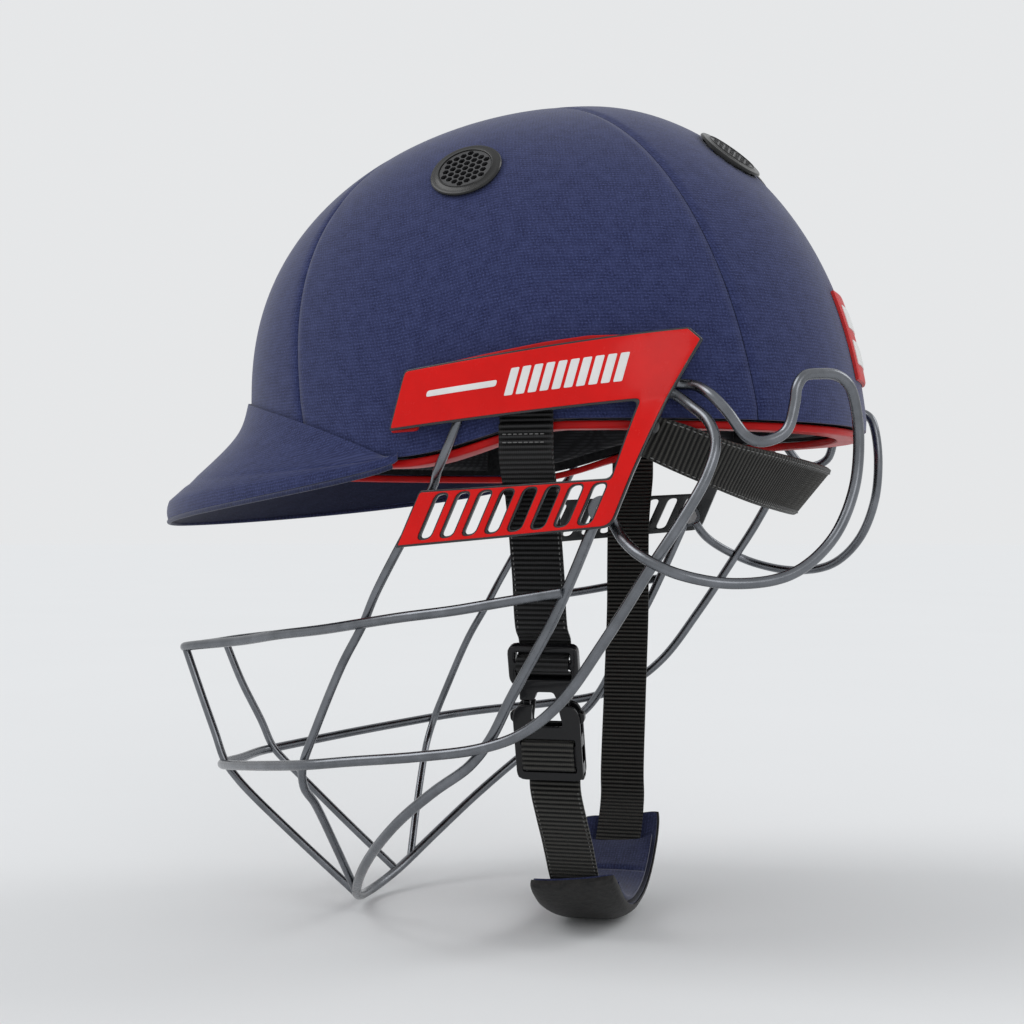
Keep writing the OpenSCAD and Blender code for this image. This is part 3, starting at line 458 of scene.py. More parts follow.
def lathe(profile, place, out, a, b, sides=64):
    """Ring of the profile's (radius, height) points turned round a place's outward direction."""
    rings = [[place + out * h + r * spoke for r, h in profile] for spoke in circle(a, b, sides)]
    return swept(rings, closed=True)


def rounded(corners, radius, steps=5):
    """Outline with its corners drawn round; radius is one value or one for each corner."""
    corners = np.asarray(corners, float)
    n = len(corners)
    radii = np.broadcast_to(radius, n)
    sides = np.linalg.norm(np.roll(corners, -1, axis=0) - corners, axis=1)
    out = []
    for i in range(n):
        before, p, after = corners[i - 1], corners[i], corners[(i + 1) % n]
        r = min(radii[i], 0.46 * sides[i - 1], 0.46 * sides[i])
        a = p + unit(before - p) * r
        b = p + unit(after - p) * r
        out += [a * (1 - k) ** 2 + 2 * p * k * (1 - k) + b * k * k for k in np.linspace(0, 1, steps + 1)]
    return np.array(out)


def inset_outline(points, amount):
    """Outline drawn in by amount, its points anticlockwise."""
    p = np.asarray(points, float)
    after = unit(np.roll(p, -1, axis=0) - p)[:, ::-1] * [-1, 1]
    before = np.roll(after, 1, axis=0)
    corner = unit(before + after)
    return p + corner * amount / np.maximum(0.5, np.sum(corner * before, axis=1, keepdims=True))


ROUND = ((1.0, 0.0), (0.62, 0.08), (0.29, 0.29), (0.08, 0.62), (0.0, 1.0))


def flat_plate(outline, depth, edge, holes=()):
    """Flat plate with holes and rounded edges, from anticlockwise outlines in its own plane."""
    bm = bmesh.new()
    levels = ([(a * edge, -depth / 2 + b * edge) for a, b in ROUND]
              + [(a * edge, depth / 2 - b * edge) for a, b in reversed(ROUND)])
    caps = ([], [])
    for points, way in [(outline, 1)] + [(hole, -1) for hole in holes]:
        rings = [[bm.verts.new((*(p * MM), z * MM)) for p in inset_outline(points, way * drop)]
                 for drop, z in levels]
        n = len(points)
        for low, high in zip(rings, rings[1:]):
            for j in range(n):
                bm.faces.new((low[j], low[(j + 1) % n], high[(j + 1) % n], high[j]))
        for cap, ring in zip(caps, (rings[0], rings[-1])):
            cap += [bm.edges.get((ring[j], ring[(j + 1) % n])) for j in range(n)]
    for cap in caps:
        bmesh.ops.triangle_fill(bm, use_beauty=True, edges=cap)
    return bm


def sliced(bm, pitch, low, high, axis):
    """Cuts a mesh across one of its axes every pitch, so that it can bend."""
    normal = Vector((axis == 0, axis == 1, axis == 2))
    at = low + pitch
    while at < high:
        geom = list(bm.verts) + list(bm.edges) + list(bm.faces)
        bmesh.ops.bisect_plane(bm, geom=geom, plane_co=normal * at * MM, plane_no=normal, dist=1e-7)
        at += pitch


def bent_piece(name, bm, place, finish, body, replaces):
    """Piece from a flat bmesh whose points go through place, which takes and gives millimetres."""
    co = np.array([v.co[:] for v in bm.verts]) / MM
    for v, p in zip(bm.verts, place(co) * MM):
        v.co = p
    bmesh.ops.recalc_face_normals(bm, faces=bm.faces)
    mesh = bpy.data.meshes.new(name)
    bm.to_mesh(mesh)
    bm.free()
    return dress(name, mesh, finish, body, replaces, 35)


STITCH_STEP = 0.5
# Share of a thread's length, its fatness there and how far it is lifted, in thread widths
STITCH_STATIONS = ((0, 0.3, -0.25), (0.12, 0.85, 0), (0.5, 1, 0.1), (0.88, 0.85, 0), (1, 0.3, -0.25))


def stitches(line, outward, length, gap, thread, lift=0.1):
    """Row of short threads that lie along a line on a surface."""
    if np.ndim(outward) == 1:
        line = evenly(line, STITCH_STEP)
    outs = np.broadcast_to(outward, line.shape)
    step, span = int((length + gap) / STITCH_STEP), int(length / STITCH_STEP)
    parts = []
    for i in range(0, len(line) - span, step):
        a, b = line[i], line[i + span]
        out = unit(outs[i + span // 2])
        ring = circle(np.cross(unit(b - a), out), out, 6)
        parts.append(swept([mix(a, b, k) + out * (lift + rise * thread) + ring * thread / 2 * r
                            for k, r, rise in STITCH_STATIONS]))
    return join(parts)


# Finishes
RIB_PITCH = 1.9


class Finish:
    """A node material in the piece's own coordinates, which are metres in the part's frame."""

    def __init__(self, name, roughness, threads=False, **sockets):
        self.mat = bpy.data.materials.new(name)
        self.mat.use_nodes = True
        self.tree = self.mat.node_tree
        self.bsdf = self.tree.nodes["Principled BSDF"]
        self.fill(self.bsdf, roughness=roughness, **sockets)
        if threads:
            attribute = self.add("Attribute")
            attribute.attribute_name = "weave"
            self.coords = attribute.outputs["Vector"]
        else:
            self.coords = self.add("TexCoord").outputs["Object"]
        self.normal = None

    def put(self, socket, value):
        """A value for a socket, or a link to it from another node's output."""
        if isinstance(value, bpy.types.NodeSocket):
            self.tree.links.new(value, socket)
        else:
            socket.default_value = value

    def fill(self, node, **sockets):
        for key, value in sockets.items():
            self.put(node.inputs[key.replace("_", " ").title().replace("Ior", "IOR")], value)
        return node

    def add(self, kind, **sockets):
        return self.fill(self.tree.nodes.new("ShaderNode" + kind), **sockets)

    def noise(self, scale, detail, rough, squeeze=(1, 1, 1)):
        place = self.add("Mapping", vector=self.coords, scale=squeeze).outputs[0]
        node = self.add("TexNoise", vector=place, scale=scale, detail=detail, roughness=rough)
        return node.outputs["Fac"]

    def bands(self, scale, axis, distortion):
        node = self.add("TexWave", vector=self.coords, scale=scale, distortion=distortion)
        node.wave_type = "BANDS"
        node.bands_direction = axis
        return node.outputs["Fac"]

    def math(self, kind, a, b):
        node = self.add("Math")
        node.operation = kind
        self.put(node.inputs[0], a)
        self.put(node.inputs[1], b)
        return node.outputs[0]

    def weighed(self, a, share_a, b, share_b):
        """Sum of two values, each times its share."""
        return self.math("ADD", self.math("MULTIPLY", a, share_a), self.math("MULTIPLY", b, share_b))

    def ramp(self, value, *stops):
        node = self.add("ValToRGB")
        points = node.color_ramp.elements
        while len(points) < len(stops):
            points.new(0.5)
        for point, (at, colour) in zip(points, stops):
            point.position = at
            point.color = (*colour, 1)
        self.put(node.inputs[0], value)
        return node.outputs[0]

    def blend(self, value, a, b):
        """From a, which is another node's colour, to the colour b."""
        node = self.add("Mix", factor=value)
        node.data_type = "RGBA"
        self.put(node.inputs[6], a)
        self.put(node.inputs[7], (*b, 1))
        return node.outputs[2]

    def colour(self, value):
        self.fill(self.bsdf, base_color=value)
        return self

    def roughness(self, value, low, high):
        spread = self.add("MapRange", value=value, to_min=low, to_max=high)
        self.fill(self.bsdf, roughness=spread.outputs[0])
        return self

    def bump(self, value, distance, strength):
        node = self.add("Bump", height=value, distance=distance * MM, strength=strength)
        if self.normal is not None:
            self.fill(node, normal=self.normal)
        self.normal = node.outputs[0]
        self.fill(self.bsdf, normal=self.normal)
        return self


def heather(name, deep, mid, pale, sheen, threads=True):
    """Woven melange cloth: short fibres both ways, faint ribs of the weave and a cloudy mottle."""
    f = Finish(name, 0.88, threads, sheen_weight=sheen, sheen_roughness=0.45, specular_ior_level=0.2)
    level_fibres = f.noise(1.0, 2.0, 0.6, (1100, 2600, 1100))
    upright_fibres = f.noise(1.0, 2.0, 0.6, (2600, 1100, 2600))
    ribs = f.weighed(f.bands(240, "Y", 2.5), 1.0, f.bands(240, "X", 2.5), 0.6)
    fleck = f.weighed(f.weighed(level_fibres, 0.5, upright_fibres, 0.5), 0.86, ribs, 0.09)
    cloud = f.noise(190, 4.0, 0.65)
    mottle = f.ramp(cloud, (0.36, (0, 0, 0)), (0.7, (0.3, 0.3, 0.3)))
    f.colour(f.blend(mottle, f.ramp(fleck, (0.38, deep), (0.52, mid), (0.68, pale)), pale))
    return f.bump(fleck, 0.16, 0.7).bump(cloud, 0.1, 0.3).mat


def knit(name, deep, pale, scale=900):
    """Small loops with a fuzz over them."""
    f = Finish(name, 0.92, sheen_weight=0.25, sheen_roughness=0.5, specular_ior_level=0.15)
    loops = f.math("MULTIPLY", f.bands(scale / 4, "X", 0.6), f.bands(scale / 4, "Z", 0.6))
    fuzz = f.noise(scale * 1.6, 3.0, 0.7)
    f.colour(f.ramp(f.weighed(loops, 0.5, fuzz, 0.5), (0.15, deep), (0.6, pale)))
    return f.bump(loops, 0.25, 0.6).bump(fuzz, 0.12, 0.4).mat


def grained(name, roughness, grain, start, deep, pale, depth, strength, **sockets):
    """Matt stuff with one grain, which shades it and stands out of it."""
    f = Finish(name, roughness, **sockets)
    height = f.noise(*grain)
    return f.colour(f.ramp(height, (start, deep), (0.7, pale))).bump(height, depth, strength).mat


def satin_plastic(name, colour, dark, roughness, coat=0.0, shine=0.5, grain=0.12):
    """Moulded plastic with a faint cloudiness and fine texture."""
    f = Finish(name, roughness, coat_weight=coat, coat_roughness=0.12, specular_ior_level=shine)
    f.colour(f.ramp(f.noise(60, 4.0, 0.6), (0.3, dark), (0.7, colour)))
    f.roughness(f.noise(140, 4.0, 0.6), roughness * 0.85, min(1, roughness * 1.25))
    return f.bump(f.noise(2600, 2.0, 0.6), grain * 0.3, 0.5).mat


def metal(name, colour, dark, roughness):
    f = Finish(name, roughness, metallic=1.0, coat_weight=0.2, coat_roughness=0.2)
    f.colour(f.ramp(f.noise(90, 4.0, 0.65), (0.3, dark), (0.7, colour)))
    f.roughness(f.noise(400, 3.0, 0.6), roughness * 0.8, roughness * 1.35)
    return f.bump(f.noise(900, 3.0, 0.6), 0.03, 0.5).mat


def webbing_cloth(name, deep, pale):
    """Woven tape: painted shade between the ribs that its mesh has and lighter colour on their tops, with
    fine threads over them.
    """
    f = Finish(name, 0.5, True, sheen_weight=0.06, sheen_roughness=0.35, specular_ior_level=0.22)
    ribs = f.bands(2 * math.pi / (20 * RIB_PITCH * MM), "X", 0.25)
    threads = f.weighed(f.bands(390, "Y", 0.6), 0.35, f.noise(1.0, 2.0, 0.65, (900, 3600, 900)), 0.65)
    # Ribs times threads: the colour is dark in the grooves and light on the rib tops, which is painted shade
    # over the thread texture
    threads_and_rib_shade = f.math("MULTIPLY", ribs, f.math("ADD", f.math("MULTIPLY", threads, 1.1), 0.3))
    f.colour(f.ramp(threads_and_rib_shade, (0.12, deep), (0.85, pale)))
    return f.bump(threads, 0.2, 0.7).bump(ribs, 0.3, 0.6).mat


NAVY = heather("navy_cloth", (0.008, 0.011, 0.045), (0.019, 0.026, 0.09), (0.06, 0.076, 0.2), 0.25)
NAVY_DARK = heather("navy_lining_cloth", (0.004, 0.005, 0.016), (0.009, 0.012, 0.034), (0.025, 0.03, 0.07),
                    0.15)
NAVY_HEM = heather("navy_piping_cloth", (0.006, 0.008, 0.028), (0.014, 0.019, 0.06), (0.04, 0.05, 0.12),
                   0.3, False)
CUP_LINING = heather("cup_lining_cloth", (0.007, 0.009, 0.03), (0.018, 0.023, 0.066), (0.045, 0.055, 0.13),
                     0.2, False)
PAD_CLOTH = knit("pad_cloth", (0.006, 0.006, 0.007), (0.022, 0.022, 0.025))
THREAD = knit("thread", (0.09, 0.09, 0.09), (0.28, 0.28, 0.275), 3000)
FOAM = grained("liner_foam", 0.95, (420, 3.0, 0.55), 0.35, (0.008, 0.008, 0.009), (0.02, 0.02, 0.021),
               0.3, 1.0, specular_ior_level=0.15)
LEATHER = grained("cup_hide", 0.55, (520, 5.0, 0.6), 0.3, (0.007, 0.007, 0.007), (0.022, 0.021, 0.02),
                  0.25, 0.8, specular_ior_level=0.28, coat_weight=0.04)
SHELL = satin_plastic("shell_plastic", (0.03, 0.03, 0.034), (0.02, 0.02, 0.024), 0.5)
RED_GLOSS = satin_plastic("red_gloss_plastic", (0.7, 0.005, 0.004), (0.6, 0.004, 0.003), 0.25, 0.1, 0.16,
                          0.04)
RED_TRIM = satin_plastic("red_trim_plastic", (0.52, 0.006, 0.006), (0.4, 0.004, 0.004), 0.4, 0.03, 0.15, 0.1)
LABEL_RED = satin_plastic("label_rubber", (0.6, 0.016, 0.016), (0.5, 0.01, 0.01), 0.5)
LABEL_WHITE = satin_plastic("label_print", (0.8, 0.8, 0.79), (0.7, 0.7, 0.69), 0.5)
GREY_RIM = satin_plastic("plate_rim_plastic", (0.03, 0.032, 0.035), (0.019, 0.021, 0.023), 0.2, 0.25, 0.35)
VENT_PLASTIC = satin_plastic("vent_flange_plastic", (0.012,) * 3, (0.008,) * 3, 0.26, 0.15, 0.3)
MESH_PLASTIC = satin_plastic("vent_mesh_plastic", (0.042, 0.042, 0.044), (0.026, 0.026, 0.028), 0.35, 0.15,
                             0.35)
BUCKLE = satin_plastic("buckle_plastic", (0.008, 0.008, 0.009), (0.005, 0.005, 0.006), 0.24, 0.08, 0.28)
STEEL = metal("guard_steel_coat", (0.2, 0.21, 0.23), (0.13, 0.138, 0.15), 0.26)
SCREW = metal("screw_steel", (0.5, 0.5, 0.5), (0.34, 0.34, 0.35), 0.28)
# Deep colours: the painted shade in the rib grooves; pale colours: the rib tops
WEB_BLACK = webbing_cloth("black_webbing", (0.001,) * 3, (0.026, 0.026, 0.027))
WEB_GREY = webbing_cloth("grey_webbing", (0.002,) * 3, (0.05, 0.048, 0.043))

# Camera, light and floor
CAMERA_AT = Vector((0.687, 0.1596, -0.0473))
LOOK = Vector((-0.967, -0.2544, 0.0142))
SENSOR, FOCAL_PX, PHOTO_PX = 36.0, 1650, 1024
PALE, AMBIENT = (0.79, 0.8, 0.81), 0.85
LAMPS = (
    ("key", (0.5, -1.2, 1.5), 0.75, 35),
    ("side", (1.6, 1.0, 0.8), 0.35, 30),
    ("rim", (-0.9, 1.5, 1.3), 0.5, 30),
)
FLOOR_R, FLOOR_DROP = 30.0, 0.001


def aimed(name, data, place, way):
    """Camera or lamp at a place, looking along way."""
    obj = bpy.data.objects.new(name, data)
    obj.location = place
    obj.rotation_mode = "QUATERNION"
    obj.rotation_quaternion = way.to_track_quat("-Z", "Y")
    scene.collection.objects.link(obj)
    return obj


def soft_lamp(name, source, power, spread):
    """Broad even light from one direction, and what it adds to the light on the floor."""
    data = bpy.data.lights.new(name, "SUN")
    data.energy = power
    data.angle = math.radians(spread)
    aimed(name, data, source, -Vector(source))
    return power * Vector(source).normalized().z / math.pi


camera_data = bpy.data.cameras.new("camera")
camera_data.sensor_width = SENSOR
camera_data.lens = FOCAL_PX / PHOTO_PX * SENSOR
camera_data.clip_start, camera_data.clip_end = 0.01, 50
scene.camera = aimed("camera", camera_data, CAMERA_AT, LOOK)
scene.view_settings.view_transform = "Standard"

# The camera sees the sky as bright as the lit floor, so that the two meet without an edge
floor_light = AMBIENT * PALE[1] + sum(soft_lamp(*lamp) for lamp in LAMPS)
scene.world = bpy.data.worlds.new("studio")
scene.world.use_nodes = True
sky = scene.world.node_tree
lit, seen = sky.nodes["Background"], sky.nodes.new("ShaderNodeBackground")
for background, strength in ((lit, AMBIENT), (seen, floor_light)):
    background.inputs["Color"].default_value = (*PALE, 1)
    background.inputs["Strength"].default_value = strength
choose = sky.nodes.new("ShaderNodeMixShader")
sky.links.new(sky.nodes.new("ShaderNodeLightPath").outputs["Is Camera Ray"], choose.inputs["Fac"])
sky.links.new(lit.outputs[0], choose.inputs[1])
sky.links.new(seen.outputs[0], choose.inputs[2])
sky.links.new(choose.outputs[0], sky.nodes["World Output"].inputs["Surface"])

floor_mesh = bpy.data.meshes.new("floor")
floor_bm = bmesh.new()
bmesh.ops.create_circle(floor_bm, cap_ends=True, radius=FLOOR_R, segments=96)
floor_bm.to_mesh(floor_mesh)
floor_bm.free()
floor = bpy.data.objects.new("floor", floor_mesh)
floor.location = (0, 0, cad_box[0].z - FLOOR_DROP)
scene.collection.objects.link(floor)
paper = Finish("floor_paper", 0.95, specular_ior_level=0.0)
fibres = paper.noise(3, 3.0, 0.5)
paper.colour(paper.ramp(fibres, (0.3, (0.786, 0.796, 0.806)), (0.7, (0.794, 0.804, 0.814))))
floor_mesh.materials.append(paper.mat)

# Cover, shell and what lines it
SEAM_GAP, SEAM_DIP, SEAM_REACH = 0.18, 0.75, 1.5
HEM_DIP, HEM_REACH = 0.7, 1.2
HOLE_GAP, HOLE_SNAP = 0.6, 1.3
# The cloth's inner face lies this far under the part's
CLOTH_BACK = 0.35
VENT_PLACES = [dome_frame(t, e) for angle, e in VENTS for t in (angle, 180 - angle)]


def cover_grid(start, end, cols, rows):
    """Directions over a panel between two seams, and how far its edges are drawn down."""
    k = np.linspace(0, 1, cols + 1)
    t = mix(start, end, smooth(k) * 0.35 + k * 0.65)
    low = direction(t, level(t, rim_z(t), 0))
    climb = 0.997 * np.linspace(0, 1, rows + 1) ** 0.96
    u = unit(np.stack([arc_between(low, unit(SEAM_APEX)[None, :], k) for k in climb]))
    flat = dome_along(u, 0)
    run = run_along(flat, 1)
    from_seam = np.minimum(run, run[:, -1:] - run)
    from_rim = np.maximum(flat[..., 2] - rim_z(t)[None, :], 0)
    return u, SEAM_DIP * bell(from_seam, SEAM_REACH) + HEM_DIP * bell(from_rim, HEM_REACH)


def cover_panel(word, start, end, cols, rows=84):
    """Cloth between two seams, with a round hole at each vent that it reaches."""
    gap = math.degrees(math.asin(SEAM_GAP / SIDE))
    radius = VENT_HOLE_D / 2 + HOLE_GAP
    u, dip = cover_grid(start + gap, end - gap, cols, rows)
    outer, inner = dome_along(u, -dip), dome_along(u, -COVER_T - CLOTH_BACK)
    weave = weave_of(outer)
    keep = np.ones((rows, cols), bool)
    for place, out, _, _ in VENT_PLACES:
        rel = outer - place
        flat = rel - (rel @ out)[..., None] * out
        r = np.linalg.norm(flat, axis=2)
        near = np.linalg.norm(rel, axis=2) < 2 * radius
        mid = (r[:-1, :-1] + r[1:, :-1] + r[:-1, 1:] + r[1:, 1:]) / 4
        keep &= ~((mid < radius) & near[:-1, :-1])
        snap = (near & (np.abs(r - radius) < HOLE_SNAP))[..., None]
        pull = ((radius - r) / np.maximum(r, 1e-6))[..., None] * flat
        outer, inner = np.where(snap, outer + pull, outer), np.where(snap, inner + pull, inner)
    return piece(f"cover_{word}_cloth", *skin(outer, inner, keep=keep), NAVY, replaces=[f"cover_{word}"],
                 slot="navy_fabric", sharp=60, weave=weave)


cover_panel("front", -180 - FRONT_SEAM, FRONT_SEAM, 72)
cover_panel("left", FRONT_SEAM, REAR_SEAM, 84)
cover_panel("right", 180 - REAR_SEAM, 180 - FRONT_SEAM, 84)
cover_panel("rear", REAR_SEAM, 180 - REAR_SEAM, 76)

liner = skin(dome_grid(LINER_D), dome_grid(LINER_D - LINER_T), ring=True, cap=True)
piece("liner_foam_shell", *liner, FOAM, replaces=["foam_liner"], slot="foam", sharp=50)


def trim_line(d, drop, cols=180):
    t = np.arange(cols) * 360 / cols
    return dome(t, level(t, rim_z(t) - LAYER_GAP - drop, d), d)


# Flat moulding under the rim: a rounded section between its outer and inner edges
trim_section = rounded([(0, 0), (TRIM_W, 0), (TRIM_W, TRIM_H), (0, TRIM_H)], [0.8, 0.8, 1.0, 1.6], 4)
trim = swept([trim_line(-TRIM_INSET - x, z) for x, z in trim_section], closed=True)
piece("rim_trim_moulding", *trim, RED_TRIM, replaces=["rim_trim"], slot="red_trim")
refinish(SHELL, "hard_shell", "peak_core")


def pad_piece(name, shape, finish, node, slot, body=HELMET):
    piece(name, *shape, finish, body, [node], slot, 70)


def comfort_pad(name, node, t_range, z_low, e_top, cols, channels, rows=30):
    """Crowned pad on the liner, with sewn channels and edges that pull in."""
    a, b = axes((0, 1), cols, (0, 1), rows)
    t = mix(*t_range, a)
    e = mix(level(t, rim_z(t) + z_low, 0), e_top, b)
    swell = np.sqrt((1 - np.abs(2 * a - 1) ** 3) * (1 - np.abs(2 * b - 1) ** 3))
    for at in channels:
        swell = swell * (1 - 0.5 * bell(a - at, 1 / 26))
    thick = 1 + (PAD_T - 1) * swell
    pad_piece(name, skin(dome(t, e, PAD_D), dome(t, e, PAD_D - thick)), PAD_CLOTH, node, "pad_fabric")


comfort_pad("brow_pad_cloth", "brow_pad", (-140, -40), 2, 26, 90, (0.25, 0.5, 0.75))
comfort_pad("side_pad_left_cloth", "side_pads", (-30, 35), 4, 34, 60, (0.33, 0.67))
comfort_pad("side_pad_right_cloth", "side_pads", (145, 210), 4, 34, 60, (0.33, 0.67))
comfort_pad("nape_pad_cloth", "nape_pad", (48, 132), 4, 36, 76, (0.3, 0.7))

# Round pad under the crown, with a sewn channel in each quarter
crown_k = np.linspace(0, 1, 19)[:, None]
crown_t = np.arange(0, 360, 3.75)[None, :]
crown_e = mix(58, 88, crown_k)
crown_channel = 1 - 0.35 * bell(crown_t % 90 - 45, 3.5) * (1 - crown_k)
crown_thick = 1 + (PAD_T - 1) * np.sqrt(crown_k) * crown_channel
crown_back, crown_front = (dome(crown_t, crown_e, d) for d in (PAD_D, PAD_D - crown_thick))
crown_skin = skin(crown_back, crown_front, ring=True, cap=True)
pad_piece("crown_pad_cloth", crown_skin, PAD_CLOTH, "crown_pad", "pad_fabric")


# Peak
def peak_angle(t):
    return 90 * np.clip((np.abs(t + 90) - 90 - PEAK_END) / (-90 - PEAK_END), 0, 1)


def peak_joint(t, z):
    share = (sin_d(PEAK_END) - sin_d(t)) / (1 + sin_d(PEAK_END))
    d = PEAK_SKIN_T + SHEET_GAP
    return dome(t, level(t, mix(z[0], z[1], share), d), d)


def peak_edge(t, up):
    f = peak_angle(t)
    k = sin_d(f)
    power = 2 / PEAK_POWER
    thick = mix(PEAK_TEMPLE_T, PEAK_EDGE_T, k)
    x = np.sign(cos_d(t)) * PEAK_HALF_W * np.maximum(0, cos_d(f)) ** power
    bulge = 1.2 * k * (1 - 4 * (up - 0.5) ** 2)
    y = PEAK_TEMPLE_Y - PEAK_REACH * k ** power + 1.2 * k - bulge
    return np.stack([x, y, mix(*PEAK_EDGE_Z, k ** 0.8) + thick * up], -1)


def peak_top(t, s):
    a, c = peak_edge(t, 1), peak_joint(t, PEAK_SEAM_Z)
    k = sin_d(peak_angle(t))[..., None]
    out = unit((c - [0, CROWN_Y, 0]) * [1, 1, 0])
    b = c + k ** 1.6 * (out * PEAK_TURN[0] + np.array([0, 0, PEAK_TURN[1]])) + (1 - k) * (a - c) / 2
    return (1 - s) ** 3 * a + 3 * s * (1 - s) * b + s ** 3 * c


def peak_under(t, s):
    return mix(peak_edge(t, 0), peak_joint(t, PEAK_UNDER_Z), s)


PEAK_COLS = 150
PEAK_EDGE_UPS = (0.12, 0.3, 0.5, 0.72, 0.9)
HEM_AT, HEM_W, HEM_FOLD = 0.11, 0.018, 0.45


def peak_columns(inset):
    return np.linspace(-180 - PEAK_END + inset, PEAK_END - inset, PEAK_COLS + 1)


peak_t = peak_columns(0)
peak_s = np.linspace(0, 1, 41)
peak_grid = np.array([peak_edge(peak_t, up) for up in PEAK_EDGE_UPS] + [peak_top(peak_t, s) for s in peak_s])
peak_dips = np.concatenate([np.zeros(len(PEAK_EDGE_UPS)), HEM_FOLD * bell(peak_s - HEM_AT, HEM_W)])
peak_outer = moved(peak_grid, -peak_dips[:, None])
piece("peak_cloth", *skin(peak_outer, moved(peak_grid, -PEAK_SKIN_T)), NAVY, replaces=["peak_cover"],
      slot="navy_fabric", sharp=60, weave=weave_of(peak_outer))

under_t = peak_columns(1.5)
under_grid = np.array([peak_under(under_t, s) for s in np.linspace(0.02, 0.98, 25)])
piece("peak_lining_cloth", *skin(moved(under_grid, 0.8), under_grid), NAVY_DARK, replaces=["peak_lining"],
      slot="navy_lining", sharp=60, weave=weave_of(under_grid))

piping_t = peak_columns(1)
piping_line = mix(peak_edge(piping_t, 0), peak_edge(piping_t, 1), 0.12) - [0, 0, PIPING_D / 2 - 0.2]
piece("peak_piping_cord", *tube(evenly(piping_line, 2.0), PIPING_D), NAVY_HEM, replaces=["peak_piping"],
      slot="navy_fabric")

# Vents and label
HOLE_R, RIM_R = VENT_HOLE_D / 2, VENT_D / 2
VENT_PROFILE = [
    (HOLE_R - 1.3, -VENT_DEPTH), (HOLE_R - 0.4, -VENT_DEPTH), (HOLE_R - 0.3, 0.5), (RIM_R, 0.35),
    (RIM_R, 0.8), (RIM_R - 0.35, 1.25), (RIM_R - 0.9, 1.4), (RIM_R - 1.6, 1.3), (HOLE_R - 0.7, 1.75),
    (HOLE_R - 1.0, 2.05), (HOLE_R - 1.25, 1.95), (HOLE_R - 1.3, 1.3),
]
piece("vent_rings", *join([lathe(VENT_PROFILE, *place) for place in VENT_PLACES]), VENT_PLASTIC,
      replaces=["vent_flanges"], slot="vent_plastic", sharp=28)
refinish(MESH_PLASTIC, "vent_meshes")

LABEL_REACH, LABEL_H = math.degrees(math.asin(LABEL_W / 2 / REAR_L)), 40


def label_point(across, up, d):
    return dome(90 + across * LABEL_REACH * mix(0.96, 1.12, up), mix(*LABEL_E, up), d)


def label_patch(a_range, b_range, low, high, cols, rows, round_off):
    """Slab on the label's place, from low to high, whose edges are rounded off."""
    a, b = axes(a_range, cols, b_range, rows)
    edge = np.minimum(np.minimum(a - a_range[0], a_range[1] - a) * LABEL_W / 2,
                      np.minimum(b - b_range[0], b_range[1] - b) * LABEL_H)
    return skin(label_point(a, b, high - round_off * bell(edge, 0.5)), label_point(a, b, low))


label_top = LAYER_GAP + LABEL_T
piece("label_patch", *label_patch((-1, 1), (0, 1), 0.2, label_top, 48, 48, 0.4), LABEL_RED,
      replaces=["rear_label"], slot="red_trim", sharp=50)
blocks = [label_patch((-0.86, 0.86), up, label_top - 0.2, label_top + 0.5, 24, 6, 0.2)
          for up in ((0.16, 0.42), (0.56, 0.82))]
piece("label_blocks", *join(blocks), LABEL_WHITE, slot="red_trim", sharp=50)


# Side plates
def along(row, k):
    return np.array([mix(row[0][0], row[1][0], k), mix(row[0][1], row[1][1], k)])


def plate_height(row, y):
    return mix(row[0][1], row[1][1], (y - row[0][0]) / (row[1][0] - row[0][0]))


def plate_x(y, z):
    """Inner face of the side plate: flat on the row of slots, round the dome on the bar."""
    row_z, bar_z = plate_height(ROW_TOP, y), plate_height(BAR_BOTTOM, y)
    k = np.clip((z - row_z) / (bar_z - row_z), 0, 1)
    flat = GUARD_HALF_W - ROW_INSET + ROW_FLARE * (y - ROW_BOTTOM[0][0])
    return mix(flat, side_x(y, np.maximum(z, bar_z)) + PLATE_GAP, k)


PLATE_OUTLINE = [
    ROW_BOTTOM[0], ROW_BOTTOM[1], BAR_BOTTOM[1], BAR_SHOULDER[1], BAR_TOP[1], BAR_TOP[0], BAR_SHOULDER[0],
    BAR_BOTTOM[0], tuple(along(BAR_BOTTOM, STRUT_SHARE)), tuple(along(ROW_TOP, STRUT_SHARE)), ROW_TOP[0],
]
CORNERS = [0.8, 4.0, 0.1, 0.9, 0.9, 1.6, 1.6, 1.2, 3.0, 2.4, 1.4]
SLOT_PITCH = (STRUT_SHARE - SLOT_SHARE / 2) / (SLOT_COUNT + 0.25)
SLOT_CORNER, ROW_LENGTH, ROW_HEIGHT = 2.2, 85.0, 22.0
PRINT_BAR = ((0.12, 0.38), (0.47, 0.57))
PRINT_BLOCKS, BLOCK_FROM, BLOCK_PITCH, BLOCK_W, BLOCK_UPS = 10, 0.42, 0.042, 0.03, (0.3, 0.72)
# Share along the bracket from its front end, and how far its crest stands over the bar there
BRACKET_CREST = [(1.0, -0.6), (0.8, 0.2), (0.66, 1.9), (0.5, 2.0), (0.3, 1.2), (0.12, 0.4)]


def patch(low_row, high_row, shares, ups, radius, steps):
    """Rounded outline of a four-sided patch between two rows of a plate."""
    corners = [(0, 0), (1, 0), (1, 1), (0, 1)]
    return rounded([mix(along(low_row, shares[a]), along(high_row, shares[a]), ups[b]) for a, b in corners],
                   radius, steps)


def slot_outline(i, grow):
    start = SLOT_PITCH * (i + 1.2) - SLOT_SHARE / 2 - grow / ROW_LENGTH
    shares = (start, start + SLOT_SHARE + 2 * grow / ROW_LENGTH)
    ups = (SLOT_MARGIN[0] - grow / ROW_HEIGHT, 1 - SLOT_MARGIN[1] + grow / ROW_HEIGHT)
    return patch(ROW_BOTTOM, ROW_TOP, shares, ups, SLOT_CORNER + grow, 5)


